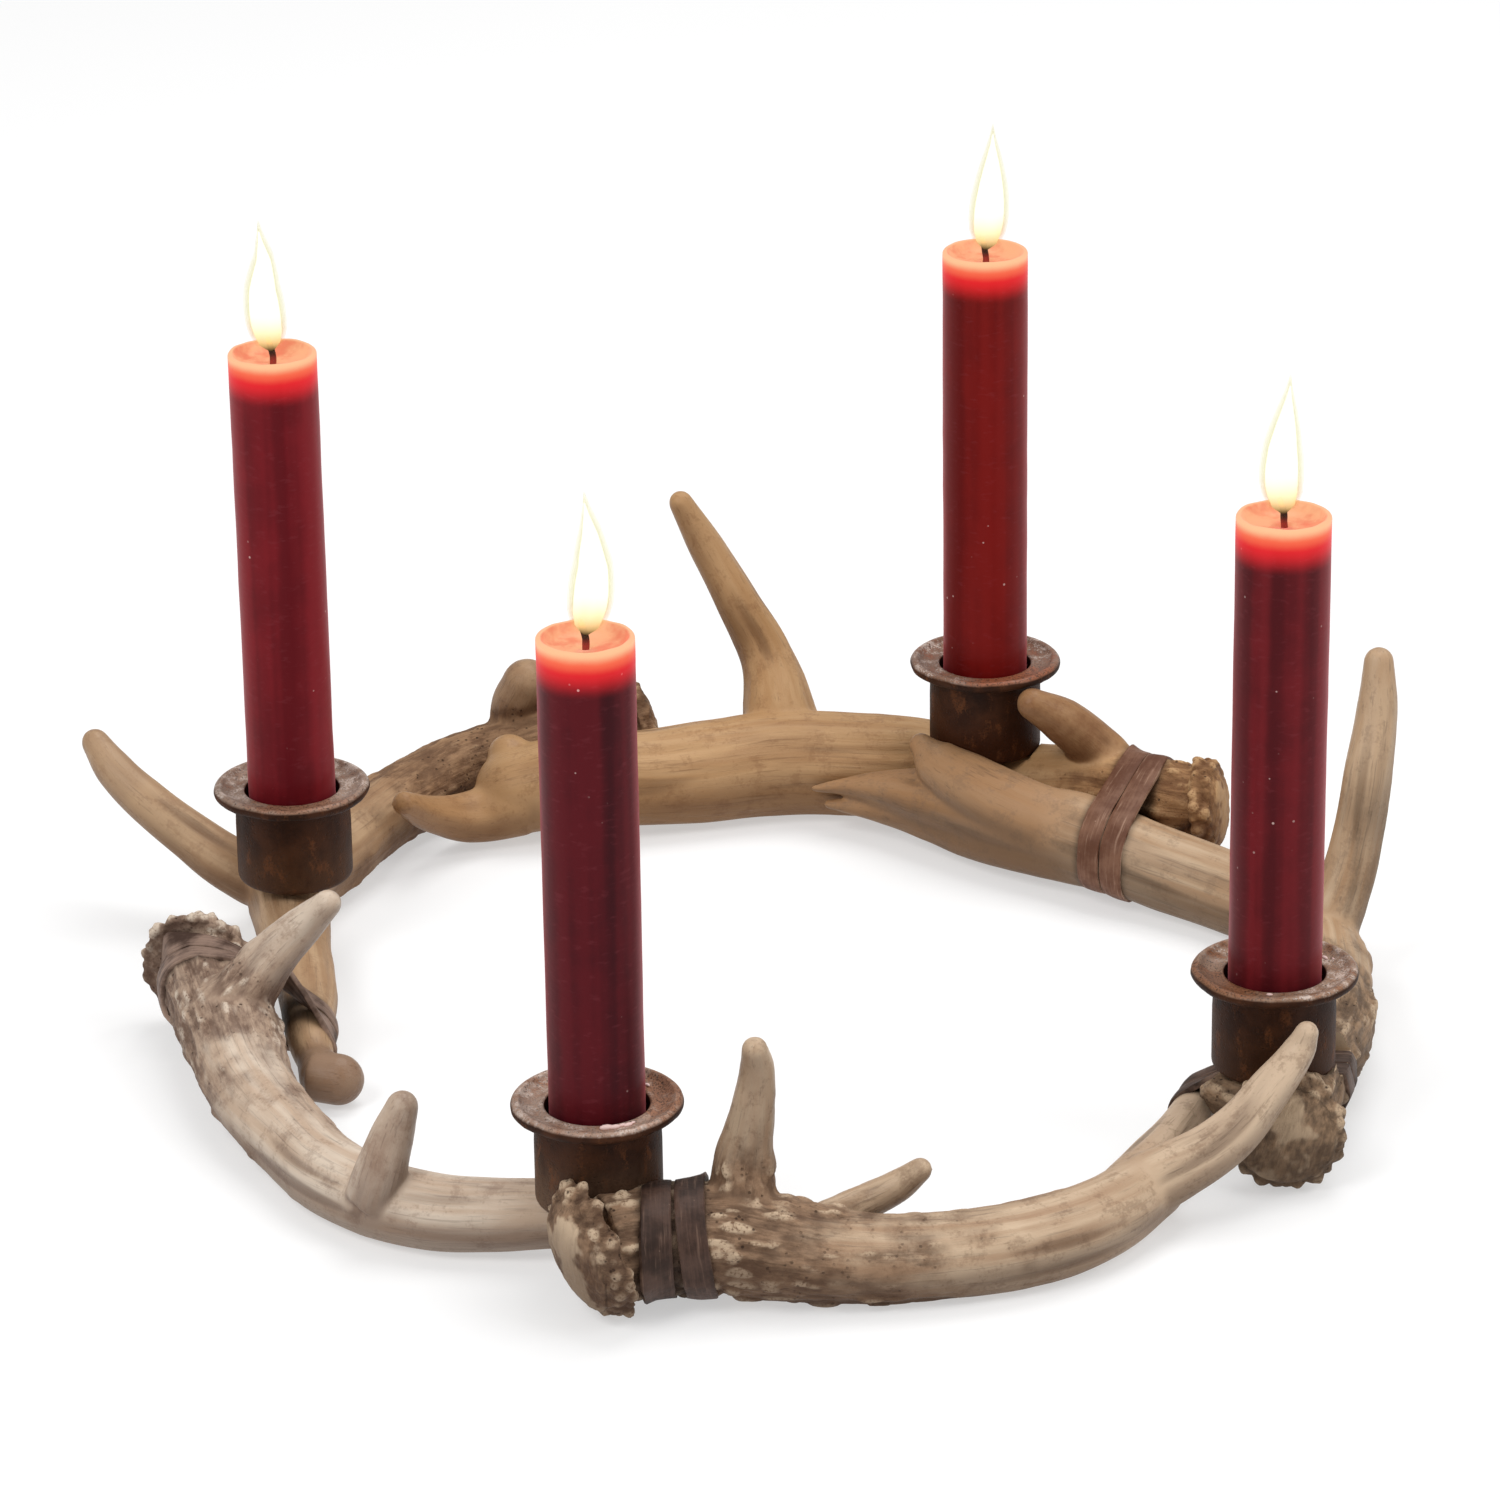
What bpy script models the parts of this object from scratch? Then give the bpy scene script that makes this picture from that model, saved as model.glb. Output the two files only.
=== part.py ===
"""Antler candle ring.

Five shed deer antlers lie on the table in a ring. Each one's burr end is lashed beside
the tips of its neighbour with a leather strap wound twice round both. Four turned iron
cups are let into the antlers, each held by one screw through its floor, and each cup
holds a lit dinner candle.

Millimetres throughout, made into metres by MM. The origin is the middle of the ring's
outline, on the table, with +Z up and the front of the ring towards -Y.
"""

import math

import bmesh
import bpy
from mathutils import Matrix, Vector, kdtree, noise

MM = 0.001

# Middle of the ring's outline, in the frame that the antlers below are written in
RING_CENTRE = (-13.85, 11.2)

# Space left between two pieces that touch
FIT_GAP = 0.3

# Turned iron candle cups
CUP_FLANGE_RADIUS = 20.25
CUP_BODY_RADIUS = 14.9
CUP_BORE_RADIUS = 12.2
CUP_HEIGHT = 26.0
CUP_FLOOR = 3.0
FLANGE_THICKNESS = 2.6

# Dinner candles
CANDLE_RADIUS = 11.2
MELT_POOL_DEPTH = 3.0
WICK_RADIUS = 0.8
WICK_SUNK = 12.0
WICK_STANDS = 7.0
FLAME_HEIGHT = 32.0

# Screws that hold the cups down
SCREW_RADIUS = 1.75
SCREW_HEAD_RADIUS = 3.2
SCREW_HEAD_HEIGHT = 1.8

# Leather straps
STRAP_THICKNESS = 1.5
STRAP_STATIONS = 24
STRAP_CROSSING = 5
STRAP_EDGE_GAP = 0.5
STRAP_REACH = 32.0
STRAP_SLACK = 0.4

# Burr: the knobbly collar where the antler grew from the skull, and its domed face
BURR_THICKNESS = 4.5
SEAL_SPREAD = 0.85

# Relief of the antlers: pearls die away from the burr, faster along a tine by its haste,
# and flutes run along the beam
PEARL_SIZE = 5.0
PEARL_HEIGHT = 1.1
PEARL_REACH = 75.0
FLUTE_DEPTH = 0.9
TINE_HASTE = 1.8

VOXEL = 1.1
TRIANGLES_PER_ANTLER = 1700

# Cup: middle (x, y), height of its rim, candle's length above the rim, place of the
# screw from the cup's middle, its length in the antler, lean of the flame's tip
CUPS = {
    "front": {"at": (-44.5, -126), "rim": 45, "candle": 114, "screw": (0, 7.5), "bite": 8, "lean": 1.4},
    "left": {"at": (-126.5, 59.5), "rim": 48, "candle": 117, "screw": (-2, 0), "bite": 12, "lean": -0.6},
    "back": {"at": (55.5, 129.5), "rim": 52.5, "candle": 114, "screw": (2, 3), "bite": 12, "lean": 2.0},
    "right": {"at": (117, -65), "rim": 48, "candle": 115, "screw": (4, -6), "bite": 12, "lean": 0.4},
}

# Each limb is a row of (x, y, z, radius) along its middle, from its root to its tip.
# "burr" is the collar's middle, its radius, the way its face looks and the face's dome.
ANTLERS = {
    "antler_front": {
        "burr": ((-45.8, -147.2, 16.4), 16.8, (-0.88, -0.42, -0.23), 6.0),
        "beam": [
            (-44, -146, 16, 12.6), (-34, -142, 15.4, 12.4), (-17, -140, 14.8, 12.2),
            (-3, -141, 12.6, 12.2), (13, -142, 10.6, 10.8), (38, -140, 10, 10),
            (58, -133, 10, 10.2), (72, -122, 9.6, 9.6), (85, -104, 9.2, 8.4),
        ],
        "brow_tine": [
            (-11.5, -137, 18, 9), (-11, -133, 30, 7), (-8.5, -134, 46, 5.2),
            (-7.5, -136, 56.5, 4.2), (-8, -138.5, 62.2, 3.2),
        ],
        "second_tine": [(2, -136, 13, 6.5), (14, -126, 15, 4.8), (25, -125, 20.5, 4), (30, -126, 25, 3)],
        "inner_fork": [(78, -112, 9.5, 8), (86, -92, 9, 6.8), (94, -74, 8.8, 5.8), (102, -52, 8.6, 5)],
        "outer_fork": [
            (84, -108, 11, 8), (103, -102, 20, 6.6), (114, -95, 30, 5.4), (121, -90.5, 38, 4),
            (122.5, -90.5, 42, 3),
        ],
        "cups": ("front", "right"),
    },
    "antler_left": {
        "burr": ((-147, 12.5, 16), 16.6, (0.3, 0.95, 0.1), 2.5),
        "beam": [
            (-145.5, 10, 15.6, 12.6), (-141, -10, 15.4, 12.4), (-137, -26, 14.4, 12.2),
            (-130, -52, 11.4, 11), (-120, -73, 9.9, 9.9), (-105, -98, 9.5, 9.5),
            (-85, -112, 9.4, 9.2), (-70, -115, 9.6, 8.8), (-55, -117, 10.6, 8.2),
            (-36, -119.5, 10.6, 7.4), (-18, -120, 10, 5.6),
        ],
        "brow_tine": [
            (-137, -20.5, 21, 8.5), (-127, -18.5, 33.5, 6.4), (-119.5, -18, 41, 5.2), (-112.6, -20, 48.3, 3.6),
        ],
        "second_tine": [
            (-98, -110, 12, 7), (-96, -112, 20, 6.3), (-93, -111, 29, 5.3), (-90.5, -110.5, 35.8, 4),
        ],
        "cups": ("front",),
    },
    "antler_back_left": {
        "burr": ((-39, 169.5, 16), 15.2, (0.95, 0.25, 0.1), 2.5),
        "beam": [
            (-41, 169, 16, 12.4), (-50, 165, 15.6, 12.4), (-66, 160.5, 13.8, 11.4),
            (-85, 156, 11, 10.8), (-97, 144, 10.4, 10.4), (-109, 125, 10.4, 10.3),
            (-120, 99, 10.8, 10.8), (-129, 76, 11.4, 11.2), (-127.5, 54, 11, 10),
            (-124.5, 35, 10, 8.2), (-121, 8, 10.2, 7.8), (-119, -13, 9.2, 6.2),
            (-117, -23, 7, 4.8), (-113.9, -32.5, 7.4, 7.6),
        ],
        "brow_tine": [(-70, 164, 17, 9.4), (-72, 165, 25, 7.4), (-69, 164, 33, 7)],
        "outer_tine": [
            (-133, 77, 12, 9), (-142.5, 75, 17, 7.4), (-155.5, 81, 24, 6.6), (-167.5, 87, 32, 6),
            (-176, 92.5, 39, 5.2), (-181, 98, 44.2, 3.8),
        ],
        "cups": ("left",),
    },
    "antler_back": {
        "burr": ((113.5, 96.5, 21.8), 13.2, (0.95, -0.25, 0.1), 2.5),
        "beam": [
            (111.5, 97, 21.8, 10.6), (104, 100, 21.8, 10.8), (88, 113, 20.5, 11), (71, 124, 16.8, 11.6),
            (58, 133, 14.8, 12.2), (41, 147, 13.6, 12.9), (27, 147, 14.2, 14.2), (0, 149, 14.2, 14.4),
            (-22, 143.5, 14.1, 14.2), (-38, 139, 14.8, 13.4), (-52, 136, 16.4, 13), (-71, 134, 13.6, 12),
        ],
        "brow_tine": [
            (92, 113, 21, 7.6), (88, 115, 27, 6.8), (84, 115.5, 31.5, 6.2), (75.5, 113.5, 40, 5.5),
            (67, 110.5, 46.4, 3.2),
        ],
        "tall_tine": [
            (1, 158, 20, 11), (-3, 172, 37, 7.4), (-11, 176, 52, 6.4), (-19, 180, 67, 5.2), (-25, 180, 81, 3.8),
        ],
        "front_fork": [(-71, 131, 11.5, 9.5), (-83, 127, 9.2, 7.2), (-93, 118, 13.5, 5.4), (-100.5, 105, 22.5, 3.4)],
        "stub": [(-66, 136, 16, 9), (-73.5, 140, 21.5, 6)],
        "cups": ("back",),
    },
    "antler_right": {
        "burr": ((118, -87.5, 15), 14.9, (-0.15, -0.98, 0.1), 4.0),
        "beam": [
            (118.3, -85, 15, 12.2), (122, -66, 15.2, 12), (126, -50, 15, 12), (131, -34, 13.2, 12.2),
            (135, -10, 12, 12.2), (136, 20, 11.6, 11.8), (130, 48, 10.8, 11), (117, 64, 10.6, 10.6),
            (97, 79, 12.8, 11), (84, 88, 14.9, 11.6), (77, 94, 15.2, 11.8), (62, 103, 15.5, 10),
            (50, 114, 16.5, 7), (40, 121.5, 18, 5),
        ],
        "tall_tine": [
            (136, 26, 14, 9.5), (142.5, 30, 26, 7.4), (146.5, 34.5, 40, 6.8), (149, 37, 54, 6.6),
            (152, 44.5, 70, 5.4), (152.5, 48.5, 81, 4),
        ],
        "palm_top": [(70, 97, 20, 8), (60, 103, 20, 7.5), (50, 112, 23.5, 6), (39, 120.5, 28, 3.6)],
        "palm_bottom": [
            (70, 97, 11.4, 9), (60, 103, 10.5, 8), (50, 112, 10, 7), (40, 121.5, 10.5, 5.6),
            (30, 127.5, 10.5, 3.6), (22, 129.8, 11, 2),
        ],
        "cups": ("right", "back"),
    },
}

# Strap: a point on its middle, the way along the limbs, the width of one wrap, how high
# the limbs in it reach (a tine above that stands clear of it), and the antlers it holds.
# "notch" names the cup that its edge is trimmed round. "groove" lets it in under a cup:
# which antler, and the height of the groove's floor.
STRAPS = {
    "strap_front": {
        "at": (-27.4, -130), "along": (1, 0), "width": 7.0, "under": 33,
        "holds": ("antler_front", "antler_left"), "notch": "front",
    },
    "strap_left": {
        "at": (-130, -5.5), "along": (-0.37, -0.93), "width": 4.8, "under": 29,
        "holds": ("antler_left", "antler_back_left"),
    },
    "strap_back_left": {
        "at": (-52, 150), "along": (1, 0.1), "width": 6.0, "under": 33,
        "holds": ("antler_back_left", "antler_back"),
    },
    "strap_back": {
        "at": (91.5, 93), "along": (0.9, -0.43), "width": 6.4, "under": 37,
        "holds": ("antler_back", "antler_right"),
    },
    "strap_right": {
        "at": (113, -58), "along": (0.08, 1), "width": 6.4, "under": 33,
        "holds": ("antler_right", "antler_front"), "groove": ("antler_right", 19.4),
    },
}


def place(x, y, z):
    """A point of the ring's layout, in metres from the origin."""
    return Vector((x - RING_CENTRE[0], y - RING_CENTRE[1], z)) * MM


def clear_scene():
    """Start from nothing."""
    for thing in list(bpy.data.objects):
        bpy.data.objects.remove(thing, do_unlink=True)


def new_collection(name):
    """A collection of the scene."""
    group = bpy.data.collections.new(name)
    bpy.context.scene.collection.children.link(group)
    return group


def make_material(name, colour, roughness, metallic=0.0):
    """A plain material of one finish."""
    material = bpy.data.materials.new(name)
    material.use_nodes = True
    shader = material.node_tree.nodes["Principled BSDF"]
    shader.inputs["Base Color"].default_value = (*colour, 1.0)
    shader.inputs["Roughness"].default_value = roughness
    shader.inputs["Metallic"].default_value = metallic
    return material


def add_object(name, mesh, group, material=None):
    """An object for the mesh, in its collection."""
    thing = bpy.data.objects.new(name, mesh)
    group.objects.link(thing)
    if material:
        mesh.materials.append(material)
    return thing


def evaluated_mesh(thing):
    """The object's mesh with its modifiers or its bevel, as a mesh of its own."""
    bpy.context.view_layer.update()
    graph = bpy.context.evaluated_depsgraph_get()
    return bpy.data.meshes.new_from_object(thing.evaluated_get(graph))


def limb_curve(points, thickness):
    """A smooth curve through (x, y, z, radius) points; a thickness of 0 leaves it a line."""
    curve = bpy.data.curves.new("limb", "CURVE")
    curve.dimensions = "3D"
    curve.resolution_u = 6
    curve.render_resolution_u = 0
    curve.bevel_depth = thickness
    curve.bevel_resolution = 4
    curve.use_fill_caps = True
    spline = curve.splines.new("BEZIER")
    spline.bezier_points.add(len(points) - 1)
    for knot, (x, y, z, radius) in zip(spline.bezier_points, points):
        knot.co = place(x, y, z)
        knot.radius = radius
        knot.handle_left_type = "AUTO"
        knot.handle_right_type = "AUTO"
    return curve


def curve_mesh(curve):
    """The curve as a mesh with its caps welded, and the curve removed."""
    guide = add_object("limb_guide", curve, bpy.context.scene.collection)
    mesh = evaluated_mesh(guide)
    bpy.data.objects.remove(guide, do_unlink=True)
    shape = bmesh.new()
    shape.from_mesh(mesh)
    bmesh.ops.remove_doubles(shape, verts=shape.verts, dist=0.01 * MM)
    shape.to_mesh(mesh)
    shape.free()
    return mesh


def rough_antler(limbs, burr):
    """The antler's limbs as overlapping tubes with round ends, and the burr's disc."""
    shape = bmesh.new()
    for points in limbs.values():
        shape.from_mesh(curve_mesh(limb_curve(points, MM)))
        x, y, z, radius = points[-1]
        bmesh.ops.create_uvsphere(
            shape, u_segments=16, v_segments=10, radius=radius * MM,
            matrix=Matrix.Translation(place(x, y, z)),
        )
    middle, radius, face, dome = burr
    turn = Vector(face).to_track_quat("Z", "Y").to_matrix().to_4x4()
    seat = Matrix.Translation(place(*middle)) @ turn
    bmesh.ops.create_cone(
        shape, cap_ends=True, segments=32, radius1=radius * MM, radius2=0.92 * radius * MM,
        depth=BURR_THICKNESS * MM, matrix=seat,
    )
    spread = SEAL_SPREAD * radius
    flat = Matrix.Diagonal((1, 1, dome / spread, 1))
    rise = Matrix.Translation((0, 0, 0.5 * BURR_THICKNESS * MM))
    bmesh.ops.create_uvsphere(
        shape, u_segments=24, v_segments=12, radius=spread * MM, matrix=seat @ rise @ flat,
    )
    mesh = bpy.data.meshes.new("rough_antler")
    shape.to_mesh(mesh)
    shape.free()
    return mesh


def limb_stations(limbs):
    """Points down the middle of the limbs, each with its distance from the burr."""
    stations = []
    for name, points in limbs.items():
        line = curve_mesh(limb_curve(points, 0.0))
        middle = [vertex.co.copy() for vertex in line.vertices]
        if name == "beam":
            travelled = 0.0
            beam = []
        else:
            travelled = min(beam, key=lambda station: (station[0] - middle[0]).length)[1]
        for index, spot in enumerate(middle):
            if index:
                travelled += (spot - middle[index - 1]).length * (1.0 if name == "beam" else TINE_HASTE)
            stations.append((spot, travelled))
        if name == "beam":
            beam = list(stations)
    return stations


def carve_relief(mesh, limbs):
    """Pearls that die away from the burr and flutes along the limbs."""
    stations = limb_stations(limbs)
    tree = kdtree.KDTree(len(stations))
    for index, (spot, _) in enumerate(stations):
        tree.insert(spot, index)
    tree.balance()
    moves = []
    for vertex in mesh.vertices:
        spot, index, _ = tree.find(vertex.co)
        travelled = stations[index][1] / MM
        pearly = max(0.0, 1.0 - travelled / PEARL_REACH)
        cell = noise.voronoi(vertex.co / (PEARL_SIZE * MM))[0][0]
        pearl = PEARL_HEIGHT * (0.35 + 0.65 * pearly) * max(0.0, 0.55 - cell) if pearly else 0.0
        around = (vertex.co - spot) / (4.5 * MM)
        along = Vector((0.3, 0.2, 0.9)) * travelled / 60.0
        flute = FLUTE_DEPTH * min(0.0, noise.noise(around + along)) * (1.0 - 0.6 * pearly)
        moves.append(vertex.normal * (pearl * 1.6 + flute) * MM)
    for vertex, move in zip(mesh.vertices, moves):
        vertex.co += move


def make_antler(name, group, material):
    """One antler, grown in one piece: its limbs blended together, then its relief."""
    design = ANTLERS[name]
    limbs = {key: value for key, value in design.items() if key not in ("burr", "cups")}
    rough = add_object(name + "_rough", rough_antler(limbs, design["burr"]), group)
    remesh = rough.modifiers.new("blend", "REMESH")
    remesh.mode = "VOXEL"
    remesh.voxel_size = VOXEL * MM
    smooth = rough.modifiers.new("soften", "SMOOTH")
    smooth.factor = 0.5
    smooth.iterations = 6
    mesh = evaluated_mesh(rough)
    bpy.data.objects.remove(rough, do_unlink=True)
    carve_relief(mesh, limbs)
    antler = add_object(name, mesh, group, material)
    mesh.calc_loop_triangles()
    decimate = antler.modifiers.new("thin_out", "DECIMATE")
    decimate.ratio = TRIANGLES_PER_ANTLER / len(mesh.loop_triangles)
    decimate.use_collapse_triangulate = True
    return antler


def add_cutter(name, mesh, group):
    """A shape that only cuts others."""
    cutter = add_object(name, mesh, group)
    cutter.hide_render = True
    cutter.display_type = "WIRE"
    return cutter


def cut(thing, cutter):
    """Take the cutter's shape out of the object."""
    boolean = thing.modifiers.new("cut_" + cutter.name, "BOOLEAN")
    boolean.operation = "DIFFERENCE"
    boolean.object = cutter


def table_cutter(group):
    """What lies below the table top, which leaves the antlers' worn resting flats."""
    shape = bmesh.new()
    bmesh.ops.create_cube(shape, size=1.0, matrix=Matrix.Translation((0, 0, -0.5)))
    bmesh.ops.scale(shape, vec=(0.6, 0.6, 0.05), verts=shape.verts)
    mesh = bpy.data.meshes.new("below_table")
    shape.to_mesh(mesh)
    shape.free()
    return add_cutter("below_table", mesh, group)


def seat_cutter(key, group):
    """The round seat that a cup's body is let into."""
    cup = CUPS[key]
    floor = cup["rim"] - CUP_HEIGHT - FIT_GAP
    height = cup["rim"] - floor
    shape = bmesh.new()
    bmesh.ops.create_cone(
        shape, cap_ends=True, segments=28, radius1=(CUP_BODY_RADIUS + FIT_GAP) * MM,
        radius2=(CUP_BODY_RADIUS + FIT_GAP) * MM, depth=height * MM,
        matrix=Matrix.Translation(place(*cup["at"], floor + height / 2)),
    )
    mesh = bpy.data.meshes.new("seat_" + key)
    shape.to_mesh(mesh)
    shape.free()
    return add_cutter("seat_" + key, mesh, group)


def turned(name, profile, middle, steps, group, material=None):
    """A profile of (radius, height) points turned about the upright axis at middle."""
    mesh = bpy.data.meshes.new(name)
    points = [(radius * MM, 0.0, height * MM) for radius, height in profile]
    mesh.from_pydata(points, [(index, index + 1) for index in range(len(points) - 1)], [])
    thing = add_object(name, mesh, group, material)
    thing.location = place(*middle)
    lathe = thing.modifiers.new("lathe", "SCREW")
    lathe.steps = steps
    lathe.render_steps = steps
    lathe.use_merge_vertices = True
    lathe.merge_threshold = 0.01 * MM
    lathe.use_smooth_shade = True
    return thing


def screw_profile(grown, bite):
    """A countersunk screw from its head's top down, grown all round by a clearance."""
    shank = SCREW_RADIUS + grown
    head = SCREW_HEAD_RADIUS + grown
    below = CUP_FLOOR + bite
    return [
        (0, 4 * grown), (head, 4 * grown), (head, -0.3), (shank, -SCREW_HEAD_HEIGHT),
        (shank, -below + 2.5), (0, -below - grown),
    ]


def make_screw(key, group, material, cutters):
    """The wood screw through the cup's floor, and the cutter for its hole."""
    cup = CUPS[key]
    top = cup["rim"] - CUP_HEIGHT + CUP_FLOOR - FIT_GAP
    spot = (cup["at"][0] + cup["screw"][0], cup["at"][1] + cup["screw"][1], top)
    turned("cup_screw_" + key, screw_profile(0.0, cup["bite"]), spot, 12, group, material)
    hole = turned("screw_hole_" + key, screw_profile(FIT_GAP, cup["bite"]), spot, 12, cutters)
    hole.hide_render = True
    hole.display_type = "WIRE"
    return hole


def make_cup(key, group, material):
    """A turned cup: a dished flange with a rolled edge over a straight body."""
    cup = CUPS[key]
    edge = CUP_FLANGE_RADIUS
    body = CUP_BODY_RADIUS
    bore = CUP_BORE_RADIUS
    under = -FLANGE_THICKNESS
    foot = -CUP_HEIGHT
    profile = [
        (0, foot + CUP_FLOOR), (bore, foot + CUP_FLOOR), (bore, -1.5), (bore + 1.6, -1.2),
        (bore + 1.9, -0.5), (edge - 1.3, 0), (edge - 0.3, -0.5), (edge, -1.4), (edge - 0.9, under + 0.1),
        (body + 0.9, under - 0.4), (body, under - 1.6), (body, foot + 1.8), (body - 1.4, foot), (0, foot),
    ]
    return turned("cup_" + key, profile, (*cup["at"], cup["rim"]), 24, group, material)


def make_candle(key, group, material):
    """A candle standing in its cup, with the melted hollow at its top."""
    cup = CUPS[key]
    foot = cup["rim"] - CUP_HEIGHT + CUP_FLOOR + FIT_GAP
    top = cup["rim"] + cup["candle"] - foot
    pool = top - MELT_POOL_DEPTH
    hole = WICK_RADIUS + FIT_GAP
    side = CANDLE_RADIUS
    profile = [
        (0, pool - WICK_SUNK - FIT_GAP), (hole, pool - WICK_SUNK - FIT_GAP), (hole, pool),
        (side - 3.0, pool + 0.5), (side - 1.6, top - 0.7), (side - 0.8, top), (side, top - 0.8),
        (side, 0.8), (side - 0.8, 0), (0, 0),
    ]
    return turned("candle_" + key, profile, (*cup["at"], foot), 20, group, material)


def make_wick(key, group, material):
    """The wick, sunk in the candle and curled over at its burnt end."""
    cup = CUPS[key]
    x, y = cup["at"]
    pool = cup["rim"] + cup["candle"] - MELT_POOL_DEPTH
    points = [
        (x, y, pool - WICK_SUNK, WICK_RADIUS), (x, y, pool - 0.5 * WICK_SUNK, WICK_RADIUS),
        (x, y, pool + 0.4 * WICK_STANDS, WICK_RADIUS),
        (x - 1.0, y - 0.4, pool + WICK_STANDS, 0.8 * WICK_RADIUS),
    ]
    curve = limb_curve(points, MM)
    curve.bevel_resolution = 1
    curve.resolution_u = 2
    return add_object("wick_" + key, curve_mesh(curve), group, material)


def make_flame(key, group, material, cutters):
    """The flame, a teardrop that hangs round the top of the wick without touching it."""
    cup = CUPS[key]
    x, y = cup["at"]
    pool = cup["rim"] + cup["candle"] - MELT_POOL_DEPTH
    start = pool + 0.45 * WICK_STANDS
    rise = FLAME_HEIGHT
    lean = cup["lean"]
    points = [
        (x, y, start, 2.2), (x, y, start + 0.1 * rise, 4.0), (x, y, start + 0.28 * rise, 5.0),
        (x + 0.3 * lean, y, start + 0.5 * rise, 3.9), (x + 0.7 * lean, y, start + 0.75 * rise, 2.0),
        (x + lean, y, start + rise, 0.4),
    ]
    curve = limb_curve(points, MM)
    curve.bevel_resolution = 2
    curve.resolution_u = 2
    flame = add_object("flame_" + key, curve_mesh(curve), group, material)
    bore = [
        (x, y, start - 2.0, WICK_RADIUS + 1.2), (x - 0.4, y - 0.2, start + 2.0, WICK_RADIUS + 1.0),
        (x - 1.0, y - 0.4, pool + WICK_STANDS + 0.6, WICK_RADIUS + 0.5),
    ]
    guide = limb_curve(bore, MM)
    guide.bevel_resolution = 1
    guide.resolution_u = 2
    cut(flame, add_cutter("wick_room_" + key, curve_mesh(guide), cutters))
    return flame


def strap_frame(design):
    """The middle of a strap, the ways along and across it, and half its band's width."""
    along = Vector((*design["along"], 0)).normalized()
    across = Vector((along.y, -along.x, 0))
    half_band = design["width"] + 0.5 * STRAP_EDGE_GAP
    return place(*design["at"], 0), along, across, half_band


def groove_cutter(name, group):
    """The shallow groove that lets a strap pass under a cup."""
    design = STRAPS[name]
    middle, along, across, half_band = strap_frame(design)
    floor = design["groove"][1]
    height = 10.0
    turn = Matrix((across, along, (0, 0, 1))).transposed().to_4x4()
    size = Matrix.Diagonal((2 * STRAP_REACH * MM, 2 * (half_band + 1.0) * MM, height * MM, 1))
    rise = Matrix.Translation(middle + Vector((0, 0, floor + height / 2)) * MM)
    shape = bmesh.new()
    bmesh.ops.create_cube(shape, size=1.0, matrix=rise @ turn @ size)
    mesh = bpy.data.meshes.new("groove_" + name)
    shape.to_mesh(mesh)
    shape.free()
    return add_cutter("groove_" + name, mesh, group)


def strap_path(design, antlers):
    """The taut path round everything in the band's slice, one corner to each station.

    The corners are where the lines that touch the limbs from neighbouring directions
    meet, so that the path never cuts into a limb.
    """
    middle, along, across, half_band = strap_frame(design)
    piece = bmesh.new()
    for antler in antlers:
        piece.from_mesh(evaluated_mesh(antler))
    for vertex in piece.verts:
        spot = vertex.co - middle
        vertex.co = (spot.dot(along), spot.dot(across), spot.z)
    edge = (half_band + FIT_GAP) * MM
    reach = STRAP_REACH * MM
    top = design["under"] * MM
    limits = [
        ((edge, 0, 0), (1, 0, 0)), ((-edge, 0, 0), (-1, 0, 0)), ((0, reach, 0), (0, 1, 0)),
        ((0, -reach, 0), (0, -1, 0)), ((0, 0, top), (0, 0, 1)),
    ]
    for point, normal in limits:
        everything = [*piece.verts, *piece.edges, *piece.faces]
        bmesh.ops.bisect_plane(piece, geom=everything, plane_co=point, plane_no=normal, clear_outer=True)
    spots = [Vector((vertex.co.y, vertex.co.z)) for vertex in piece.verts]
    piece.free()
    step = math.tau / STRAP_STATIONS
    touches = []
    for station in range(STRAP_STATIONS + 1):
        angle = station * step - 0.5 * math.pi
        outward = Vector((math.cos(angle), math.sin(angle)))
        touches.append((outward, max(spot.dot(outward) for spot in spots) + STRAP_SLACK * MM))
    path = []
    for (first, near), (second, far) in zip(touches, touches[1:]):
        path.append(
            (first + second) * ((near + far) / 2) / (1.0 + math.cos(step))
            + (second - first) * ((far - near) / 2) / (1.0 - math.cos(step))
        )
    return path


def make_strap(name, antlers, group, material):
    """A leather strap wound twice round two limbs, taut over the hollow between them.

    The wraps lie side by side, and the first crosses over to the second underneath.
    """
    design = STRAPS[name]
    middle, along, across, _ = strap_frame(design)
    width = design["width"]
    path = strap_path(design, [antlers[key] for key in design["holds"]])
    shape = bmesh.new()
    rows = []
    for station in range(2 * STRAP_STATIONS - STRAP_CROSSING + 1):
        corner = path[station % STRAP_STATIONS]
        crossed = (station - STRAP_STATIONS + STRAP_CROSSING) / STRAP_CROSSING
        shift = (min(1.0, max(0.0, crossed)) - 0.5) * (width + STRAP_EDGE_GAP)
        spot = middle + across * corner.x
        row = []
        for side in (-0.5, 0.5):
            offset = along * (shift + side * width) * MM
            row.append(shape.verts.new(spot + offset + Vector((0, 0, corner.y))))
        rows.append(row)
    for first, second in zip(rows, rows[1:]):
        shape.faces.new((first[0], first[1], second[1], second[0]))
    mesh = bpy.data.meshes.new(name)
    shape.to_mesh(mesh)
    shape.free()
    strap = add_object(name, mesh, group, material)
    thicken = strap.modifiers.new("leather", "SOLIDIFY")
    thicken.thickness = STRAP_THICKNESS * MM
    thicken.offset = 1.0
    return strap


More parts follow.
